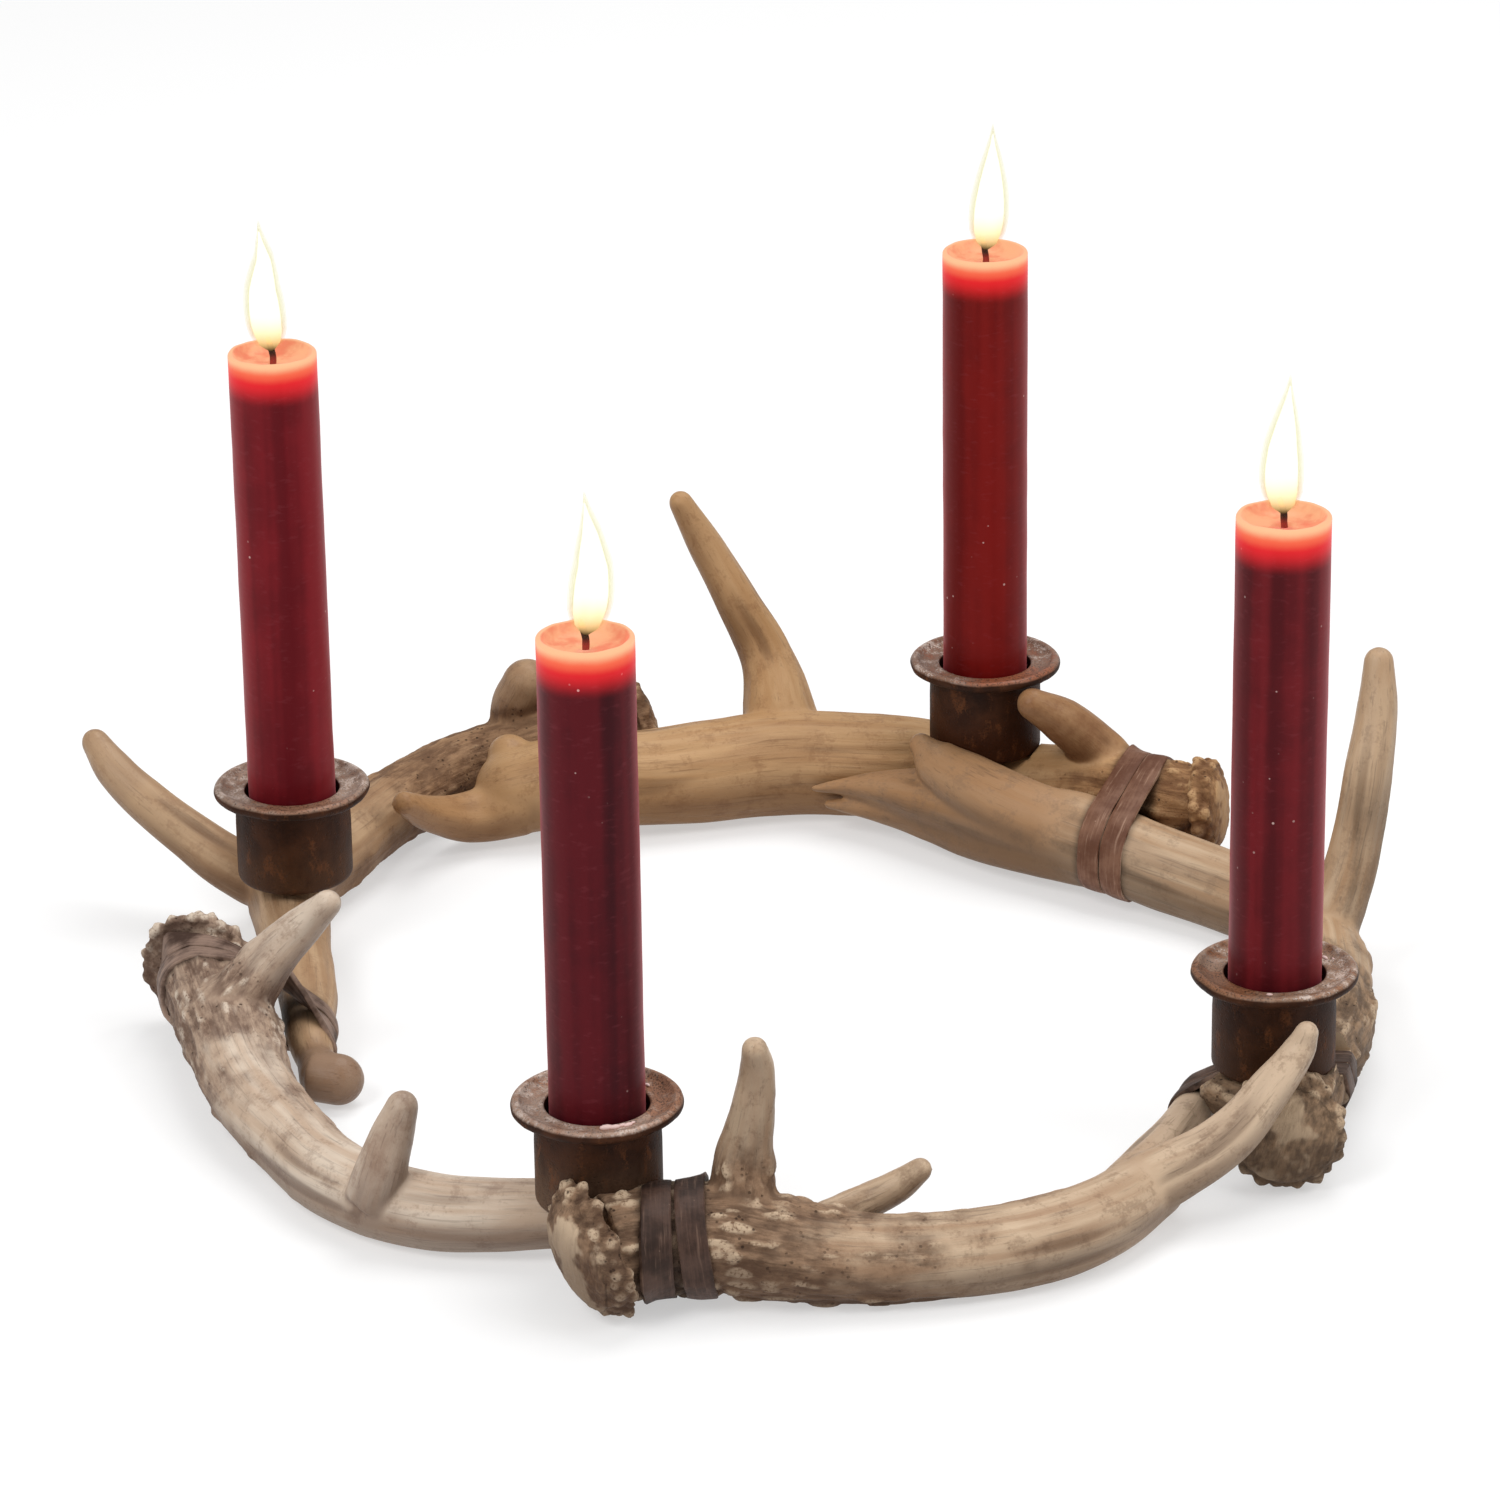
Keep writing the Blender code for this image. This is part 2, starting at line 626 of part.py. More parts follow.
def build_ring():
    """Put the ring together."""
    clear_scene()
    ring = new_collection("antler_candle_ring")
    cutters = new_collection("cutters")
    bone = make_material("antler_bone", (0.55, 0.43, 0.29), 0.5)
    iron = make_material("rusted_iron", (0.07, 0.04, 0.025), 0.6, 0.8)
    steel = make_material("screw_steel", (0.4, 0.4, 0.42), 0.35, 1.0)
    leather = make_material("brown_leather", (0.11, 0.06, 0.045), 0.55)
    wax = make_material("red_wax", (0.16, 0.01, 0.015), 0.35)
    cotton = make_material("charred_cotton", (0.05, 0.03, 0.025), 0.9)
    fire = make_material("flame", (1.0, 0.75, 0.35), 0.5)

    table = table_cutter(cutters)
    seats = {}
    holes = {}
    for key in CUPS:
        seats[key] = seat_cutter(key, cutters)
        holes[key] = make_screw(key, ring, steel, cutters)
        cup = make_cup(key, ring, iron)
        cut(cup, holes[key])
        make_candle(key, ring, wax)
        make_wick(key, ring, cotton)
        make_flame(key, ring, fire, cutters)

    antlers = {}
    for name, design in ANTLERS.items():
        antlers[name] = make_antler(name, ring, bone)
        cut(antlers[name], table)
        for key in design["cups"]:
            cut(antlers[name], seats[key])
            cut(antlers[name], holes[key])

    for name, design in STRAPS.items():
        if "groove" in design:
            cut(antlers[design["groove"][0]], groove_cutter(name, cutters))
        strap = make_strap(name, antlers, ring, leather)
        if "notch" in design:
            cut(strap, seats[design["notch"]])


build_ring()
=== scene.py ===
import math

import bmesh
import bpy
import numpy as np
from mathutils import Matrix, Vector, noise


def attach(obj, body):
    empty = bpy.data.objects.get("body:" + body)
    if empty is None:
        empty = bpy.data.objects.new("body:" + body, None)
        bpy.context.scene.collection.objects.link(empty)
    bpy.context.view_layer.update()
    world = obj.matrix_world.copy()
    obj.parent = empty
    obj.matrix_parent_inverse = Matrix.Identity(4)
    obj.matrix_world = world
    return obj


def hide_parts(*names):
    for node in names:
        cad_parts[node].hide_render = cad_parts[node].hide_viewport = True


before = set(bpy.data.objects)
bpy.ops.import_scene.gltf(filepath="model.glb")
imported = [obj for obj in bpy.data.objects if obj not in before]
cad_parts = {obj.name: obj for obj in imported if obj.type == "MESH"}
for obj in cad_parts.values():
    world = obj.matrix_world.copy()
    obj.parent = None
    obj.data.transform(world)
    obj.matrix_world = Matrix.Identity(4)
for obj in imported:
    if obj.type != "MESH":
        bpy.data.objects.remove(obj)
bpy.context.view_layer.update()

# Antlers
# Five shed antlers, each grown in one piece: bone with a knobbly burr at its root, pearls and
# ridges near it, and tines that rubbing has polished. They lie in a ring, burr beside tips.

MM = 0.001

# Middle of the ring's outline, in the frame that the antlers and cups are written in
RING_CENTRE = (-13.85, 11.2)

BURR_THICKNESS = 4.5
BURR_TAPER = 0.92
SEAL_SPREAD = 0.85
VOXEL = 0.6
SOFTENING = 20
STATIONS_PER_KNOT = 16

# Each limb is a list of (x, y, z, radius) along its middle, from its root to its tip.
# "burr" is the collar's middle, its radius, the way its face looks and the face's dome,
# and "seal" is how pale that face is.
# "relief" is how high its pearls stand, "reach" how far they go from the burr, and "dull"
# how much dirt its tines hold. The tones are the colours of its crests, of its smooth
# sides, of the bone between its pearls, of its hollows and of the painted shade on its
# underside, and of its far end, which comes in between the two distances of "far".
ANTLERS = {
    "antler_front": {
        "burr": ((-45.8, -147.2, 16.4), 16.8, (-0.88, -0.42, -0.23), 6.0),
        "seal": 0.6,
        "beam": [
            (-44, -146, 16, 12.6), (-34, -142, 15.4, 12.4), (-17, -140, 14.8, 12.2),
            (-3, -141, 12.6, 12.2), (13, -142, 10.6, 10.8), (38, -140, 10, 10),
            (58, -133, 10, 10.2), (72, -122, 9.6, 9.6), (85, -104, 9.2, 8.4),
        ],
        "brow_tine": [
            (-11.5, -137, 18, 9), (-11, -133, 30, 7), (-8.5, -134, 46, 5.2),
            (-7.5, -136, 56.5, 4.2), (-8, -138.5, 62.2, 3.2),
        ],
        "second_tine": [
            (2, -136, 13, 6.5), (14, -126, 15, 4.8), (25, -125, 20.5, 4), (30, -126, 25, 3),
        ],
        "inner_fork": [
            (78, -112, 9.5, 8), (86, -92, 9, 6.8), (94, -74, 8.8, 5.8), (102, -52, 8.6, 5),
        ],
        "outer_fork": [
            (84, -108, 11, 8), (103, -102, 20, 6.6), (114, -95, 30, 5.4), (121, -90.5, 38, 4),
            (122.5, -90.5, 42, 3),
        ],
        "cups": ("front", "right"),
        "relief": 0.85,
        "reach": 104,
        "dull": {"brow_tine": 0.3, "second_tine": 0.3},
        "far": (120, 200),
        "tones": ((205, 180, 152), (168, 136, 108), (116, 87, 65), (66, 44, 31), (206, 181, 155)),
    },
    "antler_left": {
        "burr": ((-147, 12.5, 16), 16.6, (0.3, 0.95, 0.1), 2.5),
        "seal": 0.3,
        "beam": [
            (-145.5, 10, 15.6, 12.6), (-141, -10, 15.4, 12.4), (-137, -26, 14.4, 12.2),
            (-130, -52, 11.4, 11), (-120, -73, 9.9, 9.9), (-105, -98, 9.5, 9.5),
            (-85, -112, 9.4, 9.2), (-70, -115, 9.6, 8.8), (-55, -117, 10.6, 8.2),
            (-36, -119.5, 10.6, 7.4), (-18, -120, 10, 5.6),
        ],
        "brow_tine": [
            (-137, -20.5, 21, 8.5), (-127, -18.5, 33.5, 6.4), (-119.5, -18, 41, 5.2),
            (-112.6, -20, 48.3, 3.6),
        ],
        "second_tine": [
            (-98, -110, 12, 7), (-96, -112, 20, 6.3), (-93, -111, 29, 5.3), (-90.5, -110.5, 35.8, 4),
        ],
        "cups": ("front",),
        "relief": 0.6,
        "reach": 112,
        "dull": {"brow_tine": 0.35, "second_tine": 0.65},
        "far": (190, 250),
        "tones": ((218, 201, 182), (194, 169, 146), (138, 110, 92), (80, 56, 44), (184, 158, 130)),
    },
    "antler_back_left": {
        "burr": ((-39, 169.5, 16), 15.2, (0.95, 0.25, 0.1), 2.5),
        "seal": 0.3,
        "beam": [
            (-41, 169, 16, 12.4), (-50, 165, 15.6, 12.4), (-66, 160.5, 13.8, 11.4),
            (-85, 156, 11, 10.8), (-97, 144, 10.4, 10.4), (-109, 125, 10.4, 10.3),
            (-120, 99, 10.8, 10.8), (-129, 76, 11.4, 11.2), (-127.5, 54, 11, 10),
            (-124.5, 35, 10, 8.2), (-121, 8, 10.2, 7.8), (-119, -13, 9.2, 6.2),
            (-117, -23, 7, 4.8), (-114.5, -31.5, 6.8, 6.4),
        ],
        "knob": [(-117.2, -31.2, 6.8, 6.4), (-110.8, -33.6, 6.8, 6.5)],
        "brow_tine": [(-70, 164, 17, 9.4), (-72, 165, 25, 7.4), (-69, 164, 33, 7)],
        "outer_tine": [
            (-133, 77, 12, 9), (-142.5, 75, 17, 7.4), (-155.5, 81, 24, 6.6), (-167.5, 87, 32, 6),
            (-176, 92.5, 39, 5.2), (-181, 98, 44.2, 3.8),
        ],
        "cups": ("left",),
        "relief": 0.4,
        "reach": 150,
        "dull": {"brow_tine": 0.7, "outer_tine": 0.15},
        "far": (234, 244),
        "tones": ((190, 158, 124), (164, 129, 96), (142, 108, 80), (80, 52, 34), (136, 110, 92)),
    },
    "antler_back": {
        "burr": ((113.5, 96.5, 21.8), 13.2, (0.95, -0.25, 0.1), 2.5),
        "seal": 0.4,
        "beam": [
            (111.5, 97, 21.8, 10.6), (104, 100, 21.8, 10.8), (88, 113, 20.5, 11), (71, 124, 16.8, 11.6),
            (58, 133, 14.8, 12.2), (41, 147, 13.6, 12.9), (27, 147, 14.2, 14.2), (0, 149, 14.2, 14.4),
            (-22, 143.5, 14.1, 14.2), (-38, 139, 14.8, 13.4), (-52, 136, 16.4, 13), (-71, 134, 13.6, 12),
        ],
        "brow_tine": [
            (92, 113, 21, 8.2), (88, 115, 27, 7.4), (84, 115.5, 31.5, 6.9), (75.5, 113.5, 40, 6.3),
            (67.4, 110.8, 46.0, 4.4),
        ],
        "tall_tine": [
            (1, 158, 20, 11), (-3, 172, 37, 7.4), (-11, 176, 52, 6.4), (-19, 180, 66, 5.2),
            (-26, 180, 79.4, 3.4),
        ],
        "front_fork": [
            (-71, 131, 11.5, 9.5), (-83, 127, 9.2, 7.2), (-93, 118, 13.5, 5.4),
            (-100.5, 105, 22.5, 3.4),
        ],
        "stub": [(-66, 136, 16, 9), (-73.5, 140, 21.5, 6)],
        "cups": ("back",),
        "relief": 0.8,
        "reach": 40,
        "dull": {"brow_tine": 1.0},
        "far": (190, 260),
        "tones": ((190, 152, 110), (176, 135, 92), (134, 93, 61), (80, 46, 22), (166, 124, 84)),
    },
    "antler_right": {
        "burr": ((118, -87.5, 15), 14.9, (-0.15, -0.98, 0.1), 4.0),
        "seal": 0.3,
        "beam": [
            (118.3, -85, 15, 12.2), (122, -66, 15.2, 12), (126, -50, 15, 12), (131, -34, 13.2, 12.2),
            (135, -10, 12, 12.2), (136, 20, 11.6, 11.8), (130, 48, 10.8, 11), (117, 64, 10.6, 10.6),
            (97, 79, 12.8, 11), (84, 88, 14.9, 11.6), (77, 94, 15.2, 11.8), (62, 103, 15.5, 10.6),
            (50, 112, 16, 9.2), (38, 120.7, 16, 7.6), (27, 127.3, 15.5, 4.8), (16, 131.2, 14.5, 2.2),
            (9, 132.6, 13.5, 1),
        ],
        "tall_tine": [
            (136, 26, 14, 9.5), (142.5, 30, 26, 7.4), (146.5, 34.5, 40, 6.8), (149, 37, 54, 6.6),
            (152, 44.5, 70, 5.4), (152.5, 48.5, 81, 4),
        ],
        "palm_top": [
            (80, 91.5, 15, 9), (71, 96, 17.4, 10), (61, 102, 20, 9.6), (50, 110.5, 23.6, 8.4),
            (42, 117.5, 27, 6.6), (38, 121, 30.5, 3.4),
        ],
        "palm_bottom": [
            (93, 82, 12.6, 9.2), (81, 90, 11.8, 9.4), (70, 97, 11.2, 9), (60, 103, 10.5, 8),
            (50, 112, 9.5, 7.4), (40, 120.5, 9.5, 6.2), (30, 127.2, 9, 4.4),
            (21, 130.4, 9, 2.8), (13, 132.4, 9, 1.4),
        ],
        "spur": [(116, -74, 15, 8), (109, -70.5, 15.2, 6.4), (105, -68, 15.4, 5.2)],
        "cups": ("right", "back"),
        "relief": 1.0,
        "reach": 118,
        "dull": {},
        "far": (160, 240),
        "tones": ((196, 170, 141), (172, 139, 107), (126, 103, 83), (66, 49, 36), (160, 117, 77)),
    },
}

# Cup: middle (x, y), height of its rim, and candle's length above the rim
CUPS = {
    "front": {"at": (-44.5, -126), "rim": 45, "candle": 114},
    "left": {"at": (-126.5, 59.5), "rim": 48, "candle": 117},
    "back": {"at": (55.5, 129.5), "rim": 52.5, "candle": 114},
    "right": {"at": (117, -65), "rim": 48, "candle": 115},
}

# Strap: a point on its middle, its way along the limbs, and the width of one wrap.
# "under" is the height below which the bone shapes the band, "gap" the space between its
# two wraps, "lean" how far they swing aside towards the table, "fray" the raggedness of
# their edges there. The tones are the leather's worn and deep parts and its cut edge.
STRAPS = {
    "strap_front": {
        "at": (-27.4, -130), "along": (1, 0), "width": 7.0, "under": 29, "gap": 0.5,
        "lean": 3.2, "fray": 1.3, "holds": ("antler_front", "antler_left"), "beside": "front",
        "tones": ((80, 58, 48), (46, 31, 24), (118, 94, 80)),
    },
    "strap_left": {
        "at": (-130, -5.5), "along": (-0.37, -0.93), "width": 4.7, "under": 29, "gap": 0.5,
        "lean": 0.8, "fray": 0.2, "holds": ("antler_left", "antler_back_left"),
        "tones": ((140, 116, 102), (66, 47, 38), (166, 140, 124)),
    },
    "strap_back_left": {
        "at": (-52, 150), "along": (1, 0.1), "width": 5.9, "under": 33, "gap": 0.5,
        "lean": 0.5, "fray": 0.2, "holds": ("antler_back_left", "antler_back"),
        "tones": ((112, 82, 66), (72, 48, 36), (160, 130, 110)),
    },
    "strap_back": {
        "at": (91.5, 93), "along": (0.9, -0.43), "width": 6.4, "under": 37, "gap": 0.15,
        "lean": 0.3, "fray": 0.1, "holds": ("antler_back", "antler_right"),
        "tones": ((124, 88, 68), (94, 58, 40), (178, 146, 124)),
    },
    "strap_right": {
        "at": (113, -58), "along": (0.08, 1), "width": 6.3, "under": 19.6, "gap": 0.5,
        "lean": 0.0, "fray": 0.2, "holds": ("antler_right", "antler_front"),
        "tones": ((92, 72, 62), (52, 38, 31), (140, 114, 98)),
    },
}
STRAP_REACH = 32.0
CUP_BODY_RADIUS = 14.9
CUP_HEIGHT = 26.0
FIT_GAP = 0.3


def place(x, y, z):
    """A point of the ring's layout, in metres from the origin."""
    return Vector((x - RING_CENTRE[0], y - RING_CENTRE[1], z)) * MM


def finished_mesh(thing):
    """The object's mesh with its modifiers or its bevel applied. The object goes."""
    bpy.context.view_layer.update()
    graph = bpy.context.evaluated_depsgraph_get()
    mesh = bpy.data.meshes.new_from_object(thing.evaluated_get(graph))
    bpy.data.objects.remove(thing, do_unlink=True)
    return mesh


def add_piece(name, mesh):
    """A new object for the mesh, at the origin."""
    thing = bpy.data.objects.new(name, mesh)
    bpy.context.scene.collection.objects.link(thing)
    return thing


def new_mesh(name, shape):
    """The finished shape as a mesh."""
    mesh = bpy.data.meshes.new(name)
    shape.to_mesh(mesh)
    shape.free()
    return mesh


def mesh_spots(mesh):
    """The mesh's points as an array, in millimetres."""
    spots = np.empty(len(mesh.vertices) * 3)
    mesh.vertices.foreach_get("co", spots)
    return spots.reshape(-1, 3) / MM


def keep(mesh, **labels):
    """Keep a value at each point of the mesh under each label, for its material."""
    for label, values in labels.items():
        layer = mesh.attributes.new(label, "FLOAT", "POINT")
        layer.data.foreach_set("value", np.array(values, np.float32))


def limb_curve(points, thickness):
    """A smooth curve through (x, y, z, radius) points; a thickness of 0 leaves it a line."""
    curve = bpy.data.curves.new("limb", "CURVE")
    curve.dimensions = "3D"
    curve.resolution_u = STATIONS_PER_KNOT
    curve.bevel_depth = thickness
    curve.bevel_resolution = 10
    curve.use_fill_caps = True
    spline = curve.splines.new("BEZIER")
    spline.bezier_points.add(len(points) - 1)
    for knot, (x, y, z, radius) in zip(spline.bezier_points, points):
        knot.co = place(x, y, z)
        knot.radius = radius
        knot.handle_left_type = "AUTO"
        knot.handle_right_type = "AUTO"
    return curve


def welded_mesh(curve):
    """The curve as a mesh with its caps welded."""
    mesh = finished_mesh(add_piece("limb_guide", curve))
    shape = bmesh.new()
    shape.from_mesh(mesh)
    bmesh.ops.remove_doubles(shape, verts=shape.verts, dist=0.01 * MM)
    shape.to_mesh(mesh)
    shape.free()
    return mesh


def rough_antler(limbs, burr):
    """The limbs as overlapping tubes with round ends, and the burr's disc and domed face."""
    shape = bmesh.new()
    for points in limbs.values():
        shape.from_mesh(welded_mesh(limb_curve(points, MM)))
        x, y, z, radius = points[-1]
        bmesh.ops.create_uvsphere(
            shape, u_segments=32, v_segments=20, radius=radius * MM,
            matrix=Matrix.Translation(place(x, y, z)),
        )
    middle, radius, face, dome = burr
    turn = Vector(face).to_track_quat("Z", "Y").to_matrix().to_4x4()
    seat = Matrix.Translation(place(*middle)) @ turn
    bmesh.ops.create_cone(
        shape, cap_ends=True, segments=64, radius1=radius * MM, radius2=BURR_TAPER * radius * MM,
        depth=BURR_THICKNESS * MM, matrix=seat,
    )
    spread = SEAL_SPREAD * radius
    flat = Matrix.Diagonal((1, 1, dome / spread, 1))
    rise = Matrix.Translation((0, 0, 0.5 * BURR_THICKNESS * MM))
    bmesh.ops.create_uvsphere(
        shape, u_segments=48, v_segments=24, radius=spread * MM, matrix=seat @ rise @ flat,
    )
    return new_mesh("rough_antler", shape)


def limb_line(points):
    """Stations down a limb's middle: place, way along, two ways across, radius, distance."""
    spots = mesh_spots(finished_mesh(add_piece("limb_guide", limb_curve(points, 0.0))))
    ways = np.gradient(spots, axis=0)
    ways /= np.linalg.norm(ways, axis=1)[:, None]
    steps = np.linalg.norm(np.diff(spots, axis=0), axis=1)
    travelled = np.concatenate(([0.0], np.cumsum(steps)))
    knots = np.arange(len(points)) * STATIONS_PER_KNOT
    radii = np.interp(np.arange(len(spots)), knots, [point[3] for point in points])
    side = np.cross(ways[0], (0.31, 0.17, 0.93))
    sides = []
    for way in ways:
        side = side - way * side.dot(way)
        side /= np.linalg.norm(side)
        sides.append(side)
    sides = np.array(sides)
    return spots, ways, sides, np.cross(ways, sides), radii, travelled


def pattern(function, spots):
    """The values of a noise function at an array of points."""
    return np.fromiter((function(spot) for spot in spots.tolist()), float, len(spots))


def pearls(spot):
    """Domes of many sizes, one in most of the cells round a point, 0 to 1 high."""
    distances, middles = noise.voronoi(spot)
    size = 0.38 + 0.18 * noise.cell(middles[0] * 5.3)
    return max(0.0, 1.0 - (distances[0] / size) ** 2) ** 0.7 if size > 0.27 else 0.0


def lumps(spot):
    """Close-set lumps with creases between them, 0 to 1 high."""
    return max(0.0, 1.0 - noise.voronoi(spot)[0][0] / 0.8)


def folds(spot):
    """Fine folds and creases, about -1 to 1."""
    return noise.fractal(spot, 0.6, 2.1, 3)


def limbs_of(name):
    """An antler's limbs, which are the lists in its design."""
    return {key: value for key, value in ANTLERS[name].items() if isinstance(value, list)}


def smooth_step(values, low, high):
    """0 below low and 1 above high, with a soft slope between."""
    share = np.clip((values - low) / (high - low), 0.0, 1.0)
    return share * share * (3.0 - 2.0 * share)


def beside_limb(spots, line, haste):
    """Where points lie beside a limb: closeness, (across, up, along), travel, way to the tip."""
    middles, ways, sides, uprights, radii, travelled = line
    nearest = np.argmin((middles ** 2).sum(axis=1)[None, :] - 2.0 * spots @ middles.T, axis=1)
    away = spots - middles[nearest]
    across = (away * sides[nearest]).sum(axis=1)
    up = (away * uprights[nearest]).sum(axis=1)
    along = travelled[nearest] + (away * ways[nearest]).sum(axis=1)
    closeness = np.linalg.norm(away, axis=1) / radii[nearest]
    grain = np.stack((across, up, along), axis=1)
    return closeness, grain, haste * np.maximum(along, 0.0), travelled[-1] - along


# How far the polish goes from a tip, how much faster the burr's relief dies away up a tine
# than along the beam, and how sharply one limb's relief gives way to its neighbour's
POLISH_REACH = 42.0
TINE_HASTE = 2.2
LIMB_SHARPNESS = 7.0


def beside_limbs(spots, name):
    """The limbs' shares of each point and its grain beside each, and the antler's lie there.

    The lie is the travel from the burr, the way to the tip, and how much two limbs meet.
    """
    found = []
    for key, points in limbs_of(name).items():
        line = limb_line(points)
        if key == "beam":
            beam_spots, beam_travel = line[0], line[5]
        root = beam_travel[np.argmin(np.linalg.norm(beam_spots - line[0][0], axis=1))]
        close, grain, travel, to_end = beside_limb(spots, line, 1.0 if key == "beam" else TINE_HASTE)
        found.append((close, grain, travel + root, to_end + (POLISH_REACH if key == "spur" else 0.0)))
    closeness, grains, travels, ends = (np.array(part) for part in zip(*found))
    weights = np.exp(-LIMB_SHARPNESS * (closeness - closeness.min(axis=0)))
    weights /= weights.sum(axis=0)
    strongest = np.sort(weights, axis=0)[-2:]
    seam = 1.0 - smooth_step(strongest[1] - strongest[0], 0.0, 0.9)
    return weights, grains, (weights * travels).sum(axis=0), (weights * ends).sum(axis=0), seam


def strap_frame(design):
    """The middle of a strap, and the ways along and across the limbs."""
    along = Vector((*design["along"], 0)).normalized()
    return place(*design["at"], 0), along, Vector((along.y, -along.x, 0))


# How far from a strap's middle, across the limbs, its painted shade and dirt can lie
SHADE_AND_DIRT_REACH = 36.0


def strap_shade_and_dirt(spots, name):
    """Painted shade, with some dirt, on the bone under each strap that holds an antler."""
    shade_and_dirt = np.zeros(len(spots))
    for design in STRAPS.values():
        if name in design["holds"]:
            middle, along, across = (np.array(part) for part in strap_frame(design))
            away = spots - middle / MM
            beside = np.abs(away @ across) < SHADE_AND_DIRT_REACH
            edge = np.abs(away @ along) - design["width"]
            shade_and_dirt = np.maximum(shade_and_dirt, beside * (1.0 - smooth_step(edge, -1.0, 2.5)))
    return shade_and_dirt


def drawn_out(function, spots, size, shift):
    """A pattern drawn out along a limb, by its size across and along in millimetres."""
    across, along = size
    return pattern(function, spots / (across, across, along) + shift)


# Sizes of the relief across and along a limb, and of the burr's, all in millimetres
RIDGE_SIZE = (4.4, 28.0)
PEARL_SIZE = (4.8, 7.2)
BEAD_SIZE = (3.2, 9.0)
FLUTE_SIZE = (5.6, 55.0)
FOLD_SIZE = (3.0, 8.0)
KNOB_SIZE = 3.9
CRUMB_SIZE = 1.8
PIT_SIZE = 8.0
PEARL_HEIGHT = 1.5
BEAD_HEIGHT = 0.7
RIDGE_HEIGHT = 0.5
FLUTE_DEPTH = 1.3
KNOB_HEIGHT = 2.5

# What the bone's colours follow, at each point of an antler
BONE_LABELS = (
    "pale", "groove", "zone", "polish", "seal", "under", "crease", "far", "shade_and_dirt", "dull", "seam",
)


def carve(mesh, name):
    """Raise pearls, ridges and the burr's knobs, and keep on the mesh what colours follow."""
    design = ANTLERS[name]
    relief = design["relief"]
    limbs = limbs_of(name)
    count = len(mesh.vertices)
    spots = mesh_spots(mesh)
    normals = np.empty(count * 3)
    mesh.vertex_normals.foreach_get("vector", normals)
    normals = normals.reshape(-1, 3)

    weights, grains, travel, to_end, seam = beside_limbs(spots, name)
    shares = dict(zip(limbs, weights))
    dull = sum(shares[key] * design["dull"].get(key, 0.0) for key in limbs)
    tines = sum(shares[key] for key in limbs if "tine" in key)
    polish = 1.0 - smooth_step(to_end, 2.0, POLISH_REACH)
    patch = pattern(noise.noise, spots / 14.0) + 0.4 * pattern(noise.noise, spots / 5.0)
    nearness = 1.0 - travel / design["reach"] + 0.35 * patch
    zone = smooth_step(nearness, -0.1, 0.8) * (1.0 - 0.9 * polish)
    far = smooth_step(travel, *design["far"]) * (1.0 - 0.7 * tines)

    middle, radius, face, _ = design["burr"]
    face = np.array(face) / np.linalg.norm(face)
    from_burr = spots - np.array(place(*middle)) / MM
    height = from_burr @ face
    spread = np.linalg.norm(from_burr - height[:, None] * face, axis=1) / radius
    near_burr = (np.abs(height) < 14.0) & (spread < 1.6)
    seal = smooth_step(height, 0.9, 2.4) * (1.0 - smooth_step(spread, 0.74, 0.9)) * near_burr
    collar = smooth_step(spread, 0.74, 0.92) * (1.0 - smooth_step(-height, 3.4, 6.5)) * near_burr

    lift, pale, groove, crease = np.zeros((4, count))
    for weight, grain in zip(weights, grains):
        near = weight > 0.03
        local = grain[near]
        share = weight[near]
        here = zone[near]
        rough = 1.0 - 0.9 * polish[near]
        ridge = 1.0 - np.minimum(1.0, 2.3 * np.abs(drawn_out(noise.noise, local, RIDGE_SIZE, 5.0)))
        row = 0.35 + 0.65 * ridge
        pearl = drawn_out(pearls, local, PEARL_SIZE, 0.0) * row
        bead = drawn_out(pearls, local, BEAD_SIZE, 17.0) * row
        flute = drawn_out(noise.noise, local, FLUTE_SIZE, 31.0)
        fold = drawn_out(folds, local, FOLD_SIZE, 71.0)
        raised = PEARL_HEIGHT * pearl + BEAD_HEIGHT * bead + RIDGE_HEIGHT * (ridge - 0.4)
        lift[near] += share * (
            here ** 0.7 * relief * raised + 0.26 * here * fold + 0.16 * rough * (ridge - 0.5)
            + FLUTE_DEPTH * rough * np.minimum(0.06, flute)
        )
        ivory = np.maximum(pearl, 0.8 * bead + 0.3 * ridge * ridge)
        pale[near] += share * here * ivory * min(1.0, 1.2 * relief)
        hollow = 0.7 * smooth_step(-flute, 0.2, 0.5) * rough * (1.0 - here)
        groove[near] += share * (hollow + 0.5 * here * (1.0 - ridge) * (1.0 - pearl))
        crease[near] += share * fold

    knob = pattern(lumps, spots / KNOB_SIZE)
    crumb = pattern(lumps, spots / CRUMB_SIZE + 9.0)
    pit = pattern(folds, spots / PIT_SIZE)
    plain = (1.0 - collar) * (1.0 - seal)
    lift = lift * plain + collar * (KNOB_HEIGHT * knob + 0.4 * crumb - 1.0)
    lift += seal * (0.5 * pit - 0.2 * crumb)
    middle_of_seal = 1.0 - smooth_step(spread, 0.4, 0.9)
    pale = pale * plain + collar * (1.5 * knob - 0.35)
    pale += seal * (design["seal"] * middle_of_seal + 0.9 * pit)
    groove = groove * plain + collar * (0.85 - 1.4 * knob) + seal * (0.3 * crumb - 0.6 * pit)
    zone = np.maximum(zone, np.maximum(collar, seal))
    # Painted shade: how far each point faces down, which darkens the undersides in the material
    under = smooth_step(-normals[:, 2], -0.6, 0.3)
    # Painted shade, with some dirt, on the bone under the straps
    shade_and_dirt = strap_shade_and_dirt(spots, name)

    spots += normals * lift[:, None]
    spots[:, 2] = np.maximum(spots[:, 2], 0.0)
    mesh.vertices.foreach_set("co", (spots * MM).ravel())

